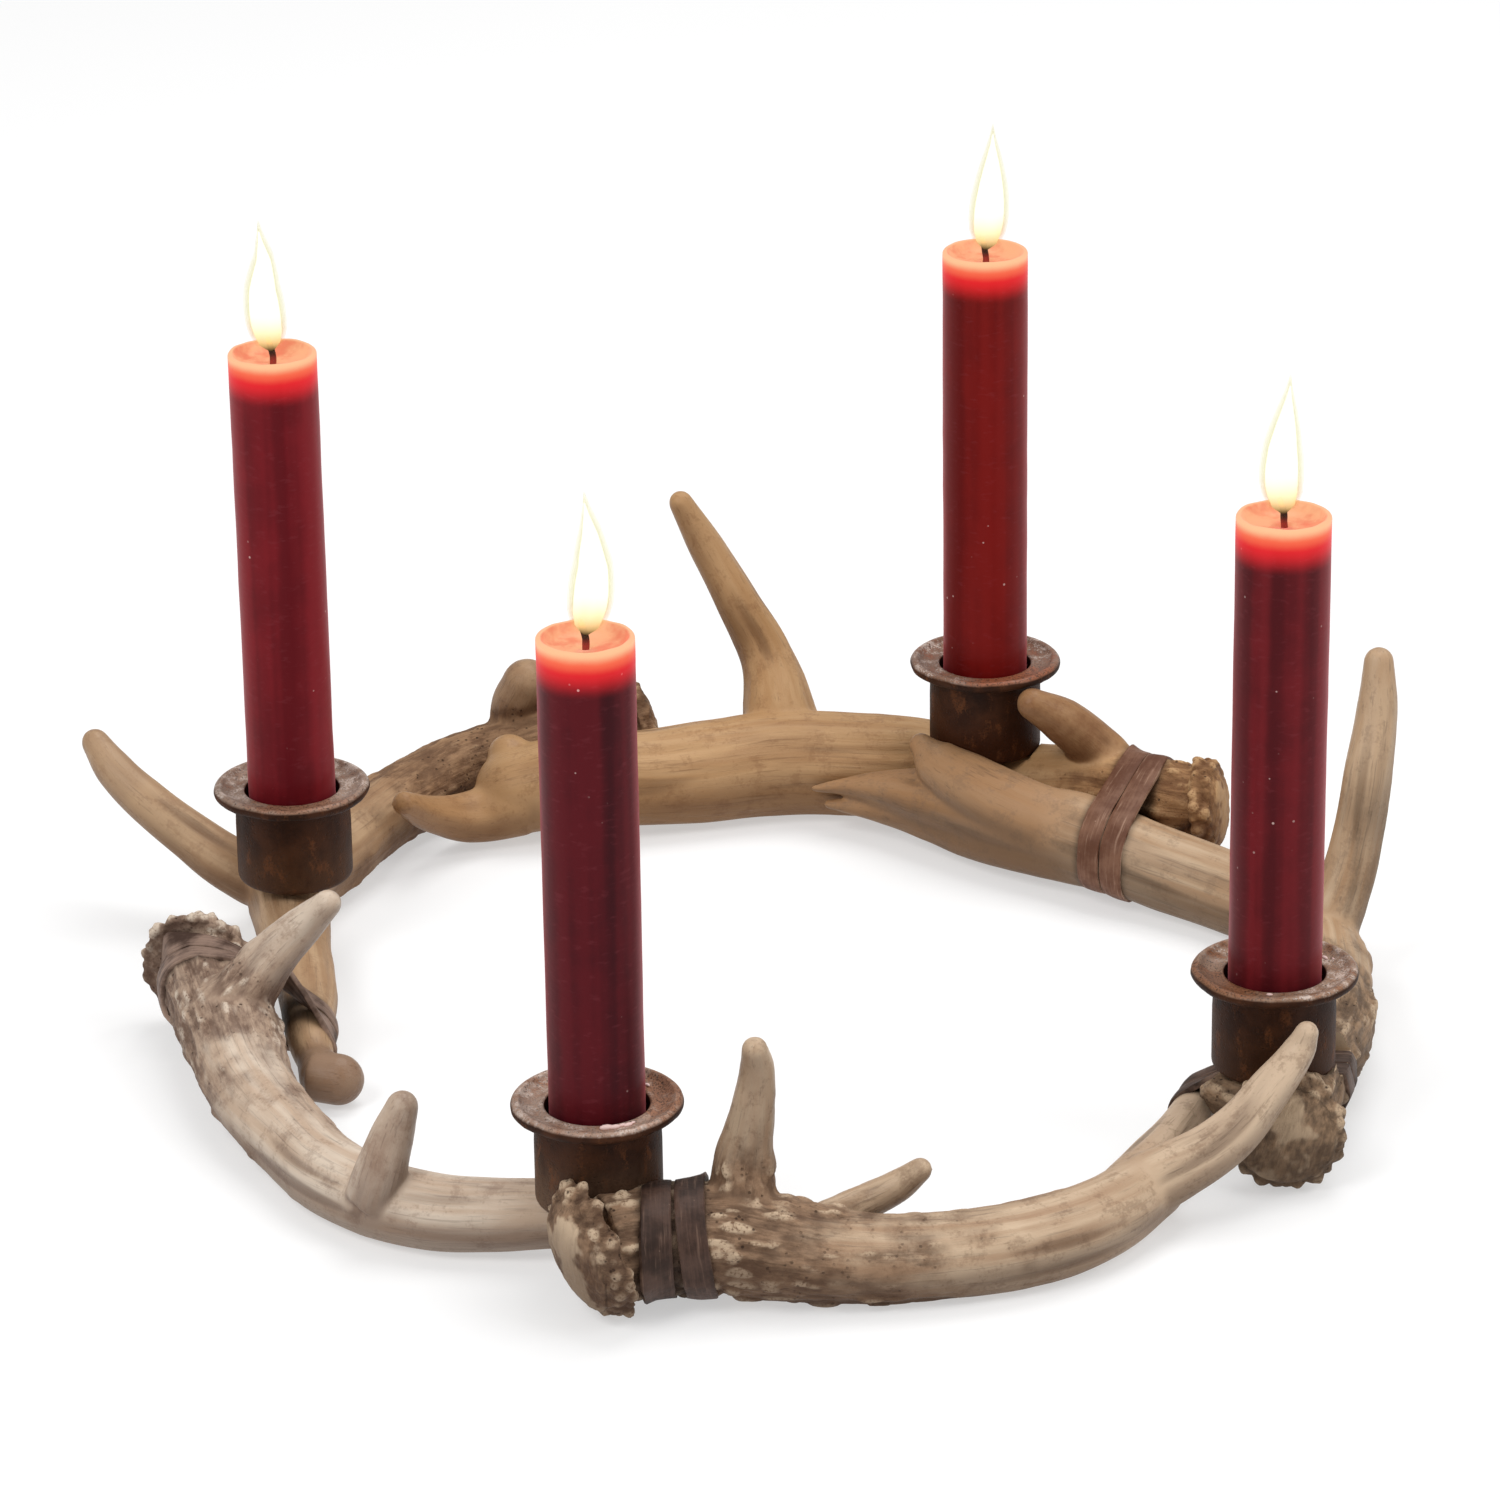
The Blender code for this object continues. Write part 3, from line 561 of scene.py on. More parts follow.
    dull = dull + np.zeros(count)
    values = (pale, groove, zone, polish, seal, under, crease, far, shade_and_dirt, dull, seam)
    keep(mesh, **dict(zip(BONE_LABELS, values)))
    grain = grains[np.argmax(weights, axis=0), np.arange(count)]
    # The seal's streaks run up its face
    grain[seal > 0.5] = grain[seal > 0.5][:, [0, 2, 1]]
    direction = mesh.attributes.new("grain", "FLOAT_VECTOR", "POINT")
    direction.data.foreach_set("vector", (grain * MM).astype(np.float32).ravel())


def seat_cutter(key):
    """The round seat that a cup's body is let into."""
    cup = CUPS[key]
    height = CUP_HEIGHT + FIT_GAP
    shape = bmesh.new()
    bmesh.ops.create_cone(
        shape, cap_ends=True, segments=96, radius1=(CUP_BODY_RADIUS + FIT_GAP) * MM,
        radius2=(CUP_BODY_RADIUS + FIT_GAP) * MM, depth=height * MM,
        matrix=Matrix.Translation(place(*cup["at"], cup["rim"] - height / 2)),
    )
    return add_piece("seat_" + key, new_mesh("seat_" + key, shape))


GROOVE_HALF_WIDTH = 7.65
GROOVE_FLOOR = 19.4
GROOVE_HEIGHT = 10.0


def groove_cutter():
    """The shallow groove that lets the right strap pass under its cup."""
    middle, along, across = strap_frame(STRAPS["strap_right"])
    turn = Matrix((across, along, (0, 0, 1))).transposed().to_4x4()
    size = Matrix.Diagonal((2 * STRAP_REACH * MM, 2 * GROOVE_HALF_WIDTH * MM, GROOVE_HEIGHT * MM, 1))
    rise = Matrix.Translation(middle + Vector((0, 0, GROOVE_FLOOR + GROOVE_HEIGHT / 2)) * MM)
    shape = bmesh.new()
    bmesh.ops.create_cube(shape, size=1.0, matrix=rise @ turn @ size)
    return add_piece("groove_right", new_mesh("groove_right", shape))


def cut_away(thing, cutters):
    """The piece with each cutter's shape cut out of it. The cutters go."""
    for cutter in cutters:
        boolean = thing.modifiers.new("cut", "BOOLEAN")
        boolean.operation = "DIFFERENCE"
        boolean.solver = "MANIFOLD"
        boolean.object = cutter
    name = thing.name
    mesh = finished_mesh(thing)
    for cutter in cutters:
        bpy.data.objects.remove(cutter, do_unlink=True)
    return add_piece(name, mesh)


def make_antler(name):
    """One antler: its limbs blended together, its relief carved, its cup seats cut."""
    design = ANTLERS[name]
    rough = add_piece(name + "_rough", rough_antler(limbs_of(name), design["burr"]))
    remesh = rough.modifiers.new("blend", "REMESH")
    remesh.mode = "VOXEL"
    remesh.voxel_size = VOXEL * MM
    soften = rough.modifiers.new("soften", "SMOOTH")
    soften.factor = 0.5
    soften.iterations = SOFTENING
    mesh = finished_mesh(rough)
    carve(mesh, name)
    mesh.shade_smooth()
    cutters = [seat_cutter(key) for key in design["cups"]]
    if name == "antler_right":
        cutters.append(groove_cutter())
    return cut_away(add_piece(name + "_bone", mesh), cutters)


class Wire:
    """One output among a material's nodes. Sums and products of it add Math nodes."""

    def __init__(self, tree, output):
        self.tree = tree
        self.output = output

    def node(self, kind, settings, inputs, output=0):
        """Any other node: its settings first, then the values or wires of its sockets."""
        node = self.tree.nodes.new(kind)
        for name, value in settings.items():
            setattr(node, name, value)
        for name, value in inputs.items():
            if isinstance(value, Wire):
                self.tree.links.new(value.output, node.inputs[name])
            else:
                node.inputs[name].default_value = value
        return Wire(self.tree, node.outputs[output])

    def maths(self, operation, *values):
        """A Math node over values and wires."""
        return self.node("ShaderNodeMath", {"operation": operation}, dict(enumerate(values)))

    def __add__(self, other):
        return self.maths("ADD", self, other)

    def __radd__(self, other):
        return self.maths("ADD", other, self)

    def __sub__(self, other):
        return self.maths("SUBTRACT", self, other)

    def __rsub__(self, other):
        return self.maths("SUBTRACT", other, self)

    def __mul__(self, other):
        return self.maths("MULTIPLY", self, other)

    def __rmul__(self, other):
        return self.maths("MULTIPLY", other, self)

    def between(self, low, high):
        """0 below low and 1 above high, with a soft slope between."""
        inputs = {"Value": self, "From Min": low, "From Max": high}
        return self.node("ShaderNodeMapRange", {"interpolation_type": "SMOOTHSTEP"}, inputs)

    def stretched(self, x, y, z):
        """The pattern's coordinates, scaled each way."""
        return self.node("ShaderNodeMapping", {}, {"Vector": self, "Scale": (x, y, z)})

    def cloud(self, size, detail=3.0, roughness=0.5):
        """Noise with lumps of the given size in millimetres, about 0 to 1."""
        inputs = {"Vector": self, "Scale": 1.0 / (size * MM), "Detail": detail, "Roughness": roughness}
        return self.node("ShaderNodeTexNoise", {}, inputs)

    def cells(self, size):
        """Distance from the middle of a cell of the given size in millimetres."""
        return self.node("ShaderNodeTexVoronoi", {}, {"Vector": self, "Scale": 1.0 / (size * MM)})


def paint(red, green, blue):
    """A colour as the eye reads it, 0 to 255, in the linear form that nodes take."""
    shades = [shade / 255 for shade in (red, green, blue)]
    steep = [((shade + 0.055) / 1.055) ** 2.4 for shade in shades]
    return (*(high if shade > 0.04 else shade / 12.92 for high, shade in zip(steep, shades)), 1.0)


def blend(share, low, high):
    """From one colour to another by a share of 0 to 1."""
    return share.node("ShaderNodeMix", {"data_type": "RGBA"}, {0: share, 6: low, 7: high}, 2)


def new_material(name):
    """An empty material, its shader, and its object coordinates."""
    material = bpy.data.materials.new(name)
    material.use_nodes = True
    tree = material.node_tree
    shader = tree.nodes["Principled BSDF"]
    coordinates = tree.nodes.new("ShaderNodeTexCoord")
    return material, shader, Wire(tree, coordinates.outputs["Object"])


def attribute(spot, name, output="Fac"):
    """A value that the mesh carries at each point."""
    return spot.node("ShaderNodeAttribute", {"attribute_name": name}, {}, output)


def bumps(height, depth, strength=1.0):
    """A surface direction roughened by a height of 0 to 1, for a depth in millimetres."""
    inputs = {"Height": height, "Distance": depth * MM, "Strength": strength}
    return height.node("ShaderNodeBump", {}, inputs)


def plug(shader, **inputs):
    """Connect wires to the shader's sockets, or set its plain values."""
    for name, value in inputs.items():
        socket = shader.inputs[name.replace("_", " ")]
        if isinstance(value, Wire):
            value.tree.links.new(value.output, socket)
        else:
            socket.default_value = value


def finish_piece(thing, material, slot, *nodes):
    """Give a piece its material, and say what it rides on and stands for."""
    if material:
        thing.data.materials.clear()
        thing.data.materials.append(material)
    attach(thing, "root")
    if nodes:
        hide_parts(*nodes)


def along_grain(grain, seam, stretch, size, detail, roughness):
    """Noise drawn out along the bone, faded to its mean where two limbs' grains meet."""
    cloud = grain.stretched(1.0, 1.0, stretch).cloud(size, detail, roughness)
    return cloud + (0.5 - cloud) * seam


PIT_TONE = (46, 31, 22)
# Colour of the painted shade and dirt on the bone under the straps
SHADE_AND_DIRT_TONE = (34, 23, 17)


def antler_material(name):
    """Weathered bone: smooth tan sides, ivory pearls on brown near the burr, polished tips."""
    crest, side, zone_tone, hollow, far_tone = (paint(*tone) for tone in ANTLERS[name]["tones"])
    material, shader, spot = new_material(name + "_bone")
    labels = (attribute(spot, label) for label in BONE_LABELS)
    pale, groove, zone, polish, seal, under, crease, far, shade_and_dirt, dull, seam = labels
    grain = attribute(spot, "grain", "Vector")
    cloud = spot.cloud(26.0, 3.0)
    blotch = spot.cloud(6.0, 5.0, 0.65)
    speck = spot.cloud(0.8, 2.0, 0.6)
    pit = spot.cells(1.7)
    streak = along_grain(grain, seam, 0.035, 2.8, 4.0, 0.55)
    smear = along_grain(grain, seam, 0.14, 7.0, 3.0, 0.5)
    hair = along_grain(grain, seam, 0.035, 0.7, 3.0, 0.6)
    scratch = along_grain(grain, seam, 0.3, 1.5, 5.0, 0.68)
    body = blend((cloud * 0.4 + streak * 0.6).between(0.38, 0.6), side, crest)
    body = blend(polish * 0.42, body, crest)
    body = blend(far * (0.8 + 0.5 * (smear - 0.5)), body, far_tone)
    body = blend((smear + 0.3 * (cloud - 0.5)).between(0.54, 0.7) * 0.34, body, zone_tone)
    stain = (blotch * 0.55 + scratch * 0.25 + speck * 0.2).between(0.5, 0.6)
    body = blend(stain * 0.36, body, zone_tone)
    grimy = dull * (0.72 + 0.9 * (blotch - 0.5) + 0.7 * (smear - 0.5))
    body = blend(grimy.between(0.0, 1.0), body, zone_tone)
    rough_bone = blend((scratch + 0.3 * crease).between(0.3, 0.7), hollow, side)
    rough_bone = blend(0.45 + 0.5 * (speck - 0.5), rough_bone, zone_tone)
    edge_of_zone = zone + 0.5 * (blotch - 0.5) + 0.5 * (streak - 0.5)
    body = blend(edge_of_zone.between(0.1, 0.8) * 0.9, body, rough_bone)
    ivory = blend((speck + seal * 0.3).between(0.25, 0.55), zone_tone, crest)
    body = blend((pale + 0.35 * (scratch - 0.5)).between(0.2, 0.6) * 0.92, body, ivory)
    body = blend(groove.between(0.1, 0.95) * 0.62, body, hollow)
    lines = (hair + 0.3 * (smear - 0.5) + 0.08 * zone).between(0.56, 0.72) * (1.0 - pale)
    body = blend(lines * 0.32, body, hollow)
    pits = (1.0 - pit.between(0.1, 0.27)) * (0.05 + zone) * blotch.between(0.45, 0.6) * (1.0 - seal)
    body = blend(pits * 0.75, body, paint(*PIT_TONE))
    # Painted shade: the undersides darkened towards the hollow tone
    shade = under * (0.78 + 0.5 * (smear - 0.5) + 0.4 * (streak - 0.5)) * (1.0 - 0.3 * polish)
    body = blend(shade.between(0.0, 0.9) * 0.68, body, hollow)
    # Painted shade, with some dirt, under the straps
    body = blend(shade_and_dirt * 0.72, body, paint(*SHADE_AND_DIRT_TONE))
    rough = 0.52 + 0.2 * zone - 0.16 * polish + 0.2 * (speck - 0.5)
    fine = hair * (0.25 + 0.1 * zone) + scratch * (0.1 + 0.6 * zone) + speck * (0.1 + 0.15 * zone)
    normal = bumps(fine - pits * 0.5, 0.8, 0.9)
    plug(shader, Base_Color=body, Roughness=rough, Normal=normal, Specular_IOR_Level=0.2)
    return material


antlers = {antler_name: make_antler(antler_name) for antler_name in ANTLERS}
for antler_name, antler in antlers.items():
    finish_piece(antler, antler_material(antler_name), "antler_bone", antler_name)

# Cups
# Turned iron cups with a wide rolled flange, let into round seats in the antlers. The iron
# has rusted brown and is worn bright along the edge of the flange.

CUP_FLANGE_RADIUS = 20.25
CUP_BORE_RADIUS = 12.2
CUP_FLOOR = 3.0
FLANGE_THICKNESS = 2.6
CUP_WEAR = 0.6
CUP_STEPS = 96

# Colours of each flange's worn top, of its coppery patch and of the body's lower part, and
# the way that the patch faces, in degrees
CUP_TONES = {
    "front": ((174, 144, 126), (150, 98, 66), (92, 70, 54), 10),
    "left": ((158, 130, 112), (146, 104, 80), (70, 44, 26), -80),
    "back": ((142, 106, 86), (156, 92, 62), (60, 28, 10), -60),
    "right": ((158, 126, 104), (142, 92, 60), (62, 36, 18), -150),
}


def arc(middle, radius, start, end, steps):
    """Points (r, z) along part of a circle, by angles in degrees."""
    out, up = middle
    angles = np.radians(np.linspace(start, end, steps))
    return [(out + radius * math.cos(angle), up + radius * math.sin(angle)) for angle in angles]


def turned(name, profile, middle, steps):
    """A profile of (radius, height) points spun about the upright axis at middle."""
    shape = bmesh.new()
    verts = [shape.verts.new((radius * MM, 0, height * MM)) for radius, height in profile]
    edges = [shape.edges.new(pair) for pair in zip(verts, verts[1:])]
    bmesh.ops.spin(
        shape, geom=[*verts, *edges], cent=(0, 0, 0), axis=(0, 0, 1), dvec=(0, 0, 0),
        angle=math.tau, steps=steps, use_merge=True,
    )
    bmesh.ops.remove_doubles(shape, verts=shape.verts, dist=0.005 * MM)
    bmesh.ops.recalc_face_normals(shape, faces=shape.faces)
    bmesh.ops.translate(shape, verts=shape.verts, vec=place(*middle))
    mesh = new_mesh(name, shape)
    mesh.shade_smooth()
    return add_piece(name, mesh)


def make_cup(key):
    """A turned cup: a dished flange with a rolled edge over a straight body."""
    cup = CUPS[key]
    edge = CUP_FLANGE_RADIUS
    body = CUP_BODY_RADIUS
    bore = CUP_BORE_RADIUS
    under = -FLANGE_THICKNESS
    foot = -CUP_HEIGHT
    profile = [
        (0, foot + CUP_FLOOR), (bore - 0.6, foot + CUP_FLOOR), (bore, foot + CUP_FLOOR + 0.6),
        (bore, -12), (bore, -2.0), *arc((bore + 0.6, -2.0), 0.6, 180, 90, 4), (bore + 1.6, -1.5),
        (bore + 2.6, -1.75), (bore + 4.2, -1.3), (edge - 2.3, -0.5),
        *arc((edge - 1.5, -1.5), 1.5, 110, -75, 14), (edge - 2.2, under - 0.25),
        *arc((body + 2.6, under - 3.0), 2.6, 90, 180, 9), (body, under - 8), (body, foot + 8),
        (body, foot + 2.4), *arc((body - 1.8, foot + 1.8), 1.8, 0, -90, 6), (0, foot),
    ]
    thing = turned("cup_" + key + "_iron", profile, (*cup["at"], cup["rim"]), CUP_STEPS)
    middle = place(*cup["at"], 0)
    for vertex in thing.data.vertices:
        away = vertex.co - middle
        spread = math.hypot(away.x, away.y) / MM
        if spread > CUP_BODY_RADIUS - 1.5 and vertex.co.z > (cup["rim"] - 8) * MM:
            dents = noise.noise(vertex.co / (8 * MM)) * 0.4
            wear = CUP_WEAR * (dents + noise.noise(vertex.co / (2.6 * MM)) * 0.16)
            vertex.co.z += wear * MM
            inward = 0.15 + wear
            vertex.co.x -= away.x / spread * inward
            vertex.co.y -= away.y / spread * inward
    spots = mesh_spots(thing.data) - np.array(middle) / MM
    patch = np.cos(np.arctan2(spots[:, 1], spots[:, 0]) - math.radians(CUP_TONES[key][3]))
    facing_up = [vertex.normal.z for vertex in thing.data.vertices]
    keep(thing.data, below=cup["rim"] - spots[:, 2], facing_up=facing_up, patch=patch)
    return thing


def iron_material(key):
    """Rusted iron with painted shade that makes it nearly black under the flange, its top rubbed paler
    and flecked with grit.
    """
    worn, copper, foot = (paint(*tone) for tone in CUP_TONES[key][:3])
    material, shader, spot = new_material("rusted_cup_iron_" + key)
    below = attribute(spot, "below")
    facing_up = attribute(spot, "facing_up")
    way = attribute(spot, "patch")
    cloud = spot.cloud(10.0, 4.0, 0.6)
    bloom = spot.stretched(1, 1, 0.5).cloud(4.0, 5.0, 0.65)
    grit = spot.cloud(0.5, 3.0, 0.75)
    fleck = spot.cells(0.9)
    top = (1.0 - below.between(2.0, 3.0)) * facing_up.between(0.3, 0.85)
    body = blend(cloud.between(0.38, 0.62), paint(40, 18, 6), paint(64, 34, 16))
    body = blend(below.between(7.0, 24.0) * (bloom + 0.2).between(0.4, 0.75), body, foot)
    body = blend((bloom * 0.7 + grit * 0.3).between(0.53, 0.63) * 0.55, body, paint(112, 66, 36))
    # Painted shadow: the band just under the flange, darkened nearly to black
    body = blend((1.0 - below.between(3.0, 6.5)) * below.between(1.5, 3.5) * 0.6, body, paint(24, 14, 9))
    flange = blend((bloom * 0.6 + cloud * 0.4).between(0.34, 0.5), copper, worn)
    body = blend(top, body, flange)
    body = blend(top * (way + 2.0 * (bloom - 0.5)).between(0.7, 0.9) * 0.85, body, copper)
    flecks = (1.0 - fleck.between(0.12, 0.4)) * bloom.between(0.42, 0.54)
    body = blend(flecks * (0.3 + 0.6 * top), body, paint(48, 31, 23))
    body = blend(grit.between(0.48, 0.62) * (0.35 + 0.4 * top), body, paint(52, 33, 23))
    chalk = (bloom * 0.5 + grit * 0.5).between(0.5, 0.58)
    body = blend(top * chalk * (1.0 - way.between(0.2, 0.9)) * 0.75, body, paint(222, 204, 192))
    plug(
        shader, Base_Color=body, Metallic=0.2 * top, Roughness=0.46 + 0.2 * bloom - 0.12 * top,
        Coat_Weight=0.35 * top, Normal=bumps(bloom * 0.5 + grit * 0.4 - flecks * 0.4, 0.4, 0.7),
    )
    plug(shader, Specular_IOR_Level=0.12, Coat_Roughness=0.3)
    return material


for cup_key in CUPS:
    finish_piece(make_cup(cup_key), iron_material(cup_key), "rusted_iron", "cup_" + cup_key)

# Screws
# One steel screw through each cup's floor holds it to the antler under it. The candles
# hide them, so their plain turned shape stays as it is and only takes a bright steel.


def steel_material():
    """Bright steel with fine turning marks and a little dirt."""
    material, shader, spot = new_material("screw_bright_steel")
    marks = spot.stretched(1, 1, 6).cloud(1.2, 2.0)
    dirt = spot.cloud(2.5)
    body = blend(dirt.between(0.45, 0.7), paint(172, 172, 176), paint(96, 90, 84))
    plug(shader, Base_Color=body, Metallic=1.0, Roughness=0.25 + 0.3 * marks)
    return material


screw_steel = steel_material()
for cup_key in CUPS:
    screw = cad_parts["cup_screw_" + cup_key]
    screw.data.materials.clear()
    screw.data.materials.append(screw_steel)

# Straps
# Brown leather thongs, each wound round two antlers where they meet in two wraps side by
# side, and pulled tight. The leather is cut from a hide, so its edges are paler.

STRAP_THICKNESS = 1.4
STRAP_STATIONS = 96
STRAP_CROSSING = 18
STRAP_SLACK = 0.3
STRAP_CROWN = 0.3
STRAP_EDGE = 0.25
STATION_STEP = 1.4
ROWS_ACROSS = 7
SLICES = 11
SLICE_HALF_WIDTH = 1.7


def taut_corners(section):
    """Where a taut band round the section's points bends, as (across, height)."""
    step = math.tau / STRAP_STATIONS
    angles = np.arange(STRAP_STATIONS + 1) * step - 0.5 * math.pi
    outward = np.stack((np.cos(angles), np.sin(angles)), axis=1)
    reach = (section @ outward.T).max(axis=0) + STRAP_SLACK
    near, far = reach[:-1, None], reach[1:, None]
    first, second = outward[:-1], outward[1:]
    return (
        (first + second) * ((near + far) / 2) / (1.0 + math.cos(step))
        + (second - first) * ((far - near) / 2) / (1.0 - math.cos(step))
    )


def even_path(corners):
    """The closed path through the corners, evenly spaced, from under the limbs onwards."""
    closed = np.concatenate((corners, corners[:1]))
    steps = np.linalg.norm(np.diff(closed, axis=0), axis=1)
    travelled = np.concatenate(([0.0], np.cumsum(steps)))
    wanted = np.linspace(0.0, travelled[-1], STRAP_STATIONS, endpoint=False)
    return np.stack([np.interp(wanted, travelled, closed[:, column]) for column in (0, 1)], axis=1)


def strap_paths(design):
    """Taut paths round the limbs in slices along them, and the slices' places."""
    middle, along, across = strap_frame(design)
    everything = np.concatenate([mesh_spots(antlers[key].data) for key in design["holds"]])
    away = everything - np.array(middle) / MM
    forward = away @ np.array(along)
    sideways = away @ np.array(across)
    inside = (np.abs(sideways) < STRAP_REACH) & (everything[:, 2] < design["under"])
    reach = design["width"] + design["gap"] + design["lean"]
    offsets = np.linspace(-reach, reach, SLICES)
    paths = []
    for offset in offsets:
        within = inside & (np.abs(forward - offset) < SLICE_HALF_WIDTH)
        section = np.stack((sideways[within], everything[within, 2]), axis=1)
        paths.append(even_path(taut_corners(section)))
    paths = np.array(paths)
    for _ in range(2):
        paths[1:-1] = 0.25 * paths[:-2] + 0.5 * paths[1:-1] + 0.25 * paths[2:]
    return offsets, paths


def make_strap(name, materials):
    """A leather ribbon wound twice round two limbs, drawn along its path row by row."""
    design = STRAPS[name]
    middle, along, across = strap_frame(design)
    width = design["width"]
    offsets, paths = strap_paths(design)
    centre = paths.mean(axis=(0, 1))
    top = paths[:, :, 1].max()
    shares = [column / (ROWS_ACROSS - 1) - 0.5 for column in range(ROWS_ACROSS)]
    shape = bmesh.new()
    grain = shape.verts.layers.float_vector.new("grain")
    row = [shape.verts.new((share * width * MM, 0, 0)) for share in shares]
    edges = [shape.edges.new(pair) for pair in zip(row, row[1:])]
    for station in range(2 * STRAP_STATIONS - STRAP_CROSSING + 1):
        if station:
            made = bmesh.ops.extrude_edge_only(shape, edges=edges)["geom"]
            row = [item for item in made if isinstance(item, bmesh.types.BMVert)]
            row.sort(key=lambda vert: vert[grain].x)
            edges = [item for item in made if isinstance(item, bmesh.types.BMEdge)]
            edges = [edge for edge in edges if set(edge.verts) <= set(row)]
        crossed = smooth_step(station, STRAP_STATIONS - STRAP_CROSSING, STRAP_STATIONS)
        here = paths[:, station % STRAP_STATIONS]
        low = 1.0 - here[SLICES // 2, 1] / top
        lean = design["lean"] * low * (0.3 + 0.7 * crossed)
        shift = (crossed - 0.5) * (width + design["gap"]) + lean
        for vert, share in zip(row, shares):
            flutter = noise.noise((station / 9.0, share * 3.0, len(name)))
            tear = noise.noise((station / 1.6, share * 2.0, 3.0)) * design["fray"] * low ** 4
            ragged = 0.16 * flutter + tear if abs(share) > 0.4 else 0.0
            offset = shift + share * width + ragged
            track = np.array([np.interp(offset, offsets, here[:, column]) for column in (0, 1)])
            outward = (track - centre) / np.linalg.norm(track - centre)
            crown = STRAP_CROWN * (1.0 - (2 * share) ** 2)
            crown += 0.12 * noise.noise((station / 11.0, share * 2.0, 7.0))
            aside, up = track + outward * crown
            vert.co = middle + (along * offset + across * aside + Vector((0, 0, up))) * MM
            vert[grain] = (share * width * MM, 0.0, station * STATION_STEP * MM)
    mesh = new_mesh(name + "_leather", shape)
    mesh.shade_smooth()
    for material in materials:
        mesh.materials.append(material)
    strap = add_piece(name + "_leather", mesh)
    thicken = strap.modifiers.new("leather", "SOLIDIFY")
    thicken.thickness = STRAP_THICKNESS * MM
    thicken.offset = 1.0
    thicken.material_offset_rim = 1
    thicken.use_even_offset = True
    round_edges = strap.modifiers.new("round_edges", "BEVEL")
    round_edges.width = STRAP_EDGE * MM
    round_edges.segments = 2
    round_edges.limit_method = "ANGLE"
    if "beside" not in design:
        return strap
    cutter = seat_cutter(design["beside"])
    cutter.data.materials.append(materials[0])
    return cut_away(strap, [cutter])


def leather_material(name, worn, deep, edge):
    """Oiled leather: fine creases along the strap, darker in them, worn paler on top."""
    material, shader, spot = new_material(name)
    grain = attribute(spot, "grain", "Vector")
    line = grain.stretched(1.0, 1.0, 0.06).cloud(0.8, 3.0, 0.6)
    crease = spot.cells(0.9)
    scuff = spot.cloud(9.0, 4.0, 0.6)
    chip = spot.cells(3.5)
    body = blend((line * 0.3 + scuff * 0.7).between(0.38, 0.62), deep, worn)
    body = blend(line.between(0.56, 0.7) * 0.4, body, edge)
    body = blend((1.0 - chip.between(0.03, 0.07)) * 0.6, body, edge)
    plug(
        shader, Base_Color=body, Roughness=0.4 + 0.3 * (1.0 - scuff),
        Normal=bumps(line * 0.6 + crease * 0.4, 0.22, 0.6), Specular_IOR_Level=0.22,
    )
    return material


for strap_name, strap_design in STRAPS.items():
    worn_tone, deep_tone, edge_tone = (paint(*tone) for tone in strap_design["tones"])
    leathers = (
        leather_material(strap_name + "_face", worn_tone, deep_tone, edge_tone),
        leather_material(strap_name + "_cut_edge", edge_tone, deep_tone, edge_tone),
    )
    finish_piece(make_strap(strap_name, leathers), None, "brown_leather", strap_name)

# Candles
# Dark red dinner candles, one in each cup. The lit wick has melted a shallow pool in the
# top, and its light glows through the wax just under the rim.

CANDLE_RADIUS = 11.2
MELT_POOL_DEPTH = 3.0
MELTED_DEPTH = 6.0
WICK_RADIUS = 0.8
WICK_SUNK = 12.0
WICK_STANDS = 7.0
CANDLE_STEPS = 72

# Deep and light tone of each candle's wax
WAX_TONES = {
    "front": ((54, 8, 16), (84, 16, 24)),
    "left": ((92, 14, 22), (122, 24, 32)),
    "back": ((94, 10, 8), (118, 18, 14)),
    "right": ((74, 14, 20), (106, 24, 30)),
}

# Crumbs of pale wax that lie on a flange by the candle's foot: their way from its middle
# in degrees, their distance from it, and their half length
CRUMBS = {
    "front": (
        (-80, 13.7, 1.7), (-72, 14.0, 1.4), (-64, 13.8, 1.0), (-59, 14.3, 1.2), (-53, 14.0, 0.7),
        (38, 14.6, 0.9), (47, 15.2, 0.7),
    ),
    "right": ((-100, 13.8, 0.8), (30, 14.6, 1.1), (40, 15.4, 0.8), (24, 16.0, 0.6)),
}


def pool_height(key):
    """The height of the melted wax in a candle's top."""
    return CUPS[key]["rim"] + CUPS[key]["candle"] - MELT_POOL_DEPTH


def drop_crumbs(mesh, key):
    """Add the crumbs round one candle's foot to its mesh."""
    x, y = CUPS[key]["at"]
    shape = bmesh.new()
    shape.from_mesh(mesh)
    for way, away, size in CRUMBS.get(key, ()):
        angle = math.radians(way)
        spot = place(x + away * math.cos(angle), y + away * math.sin(angle), CUPS[key]["rim"] - 1.4)
        turn = Matrix.Rotation(angle + 0.5 * math.pi, 4, "Z")
        flat = Matrix.Diagonal((size, 0.5 * size, 0.4 * size, 1))
        bmesh.ops.create_icosphere(
            shape, subdivisions=2, radius=MM, matrix=Matrix.Translation(spot) @ turn @ flat,
        )
    shape.to_mesh(mesh)
    shape.free()
    mesh.shade_smooth()


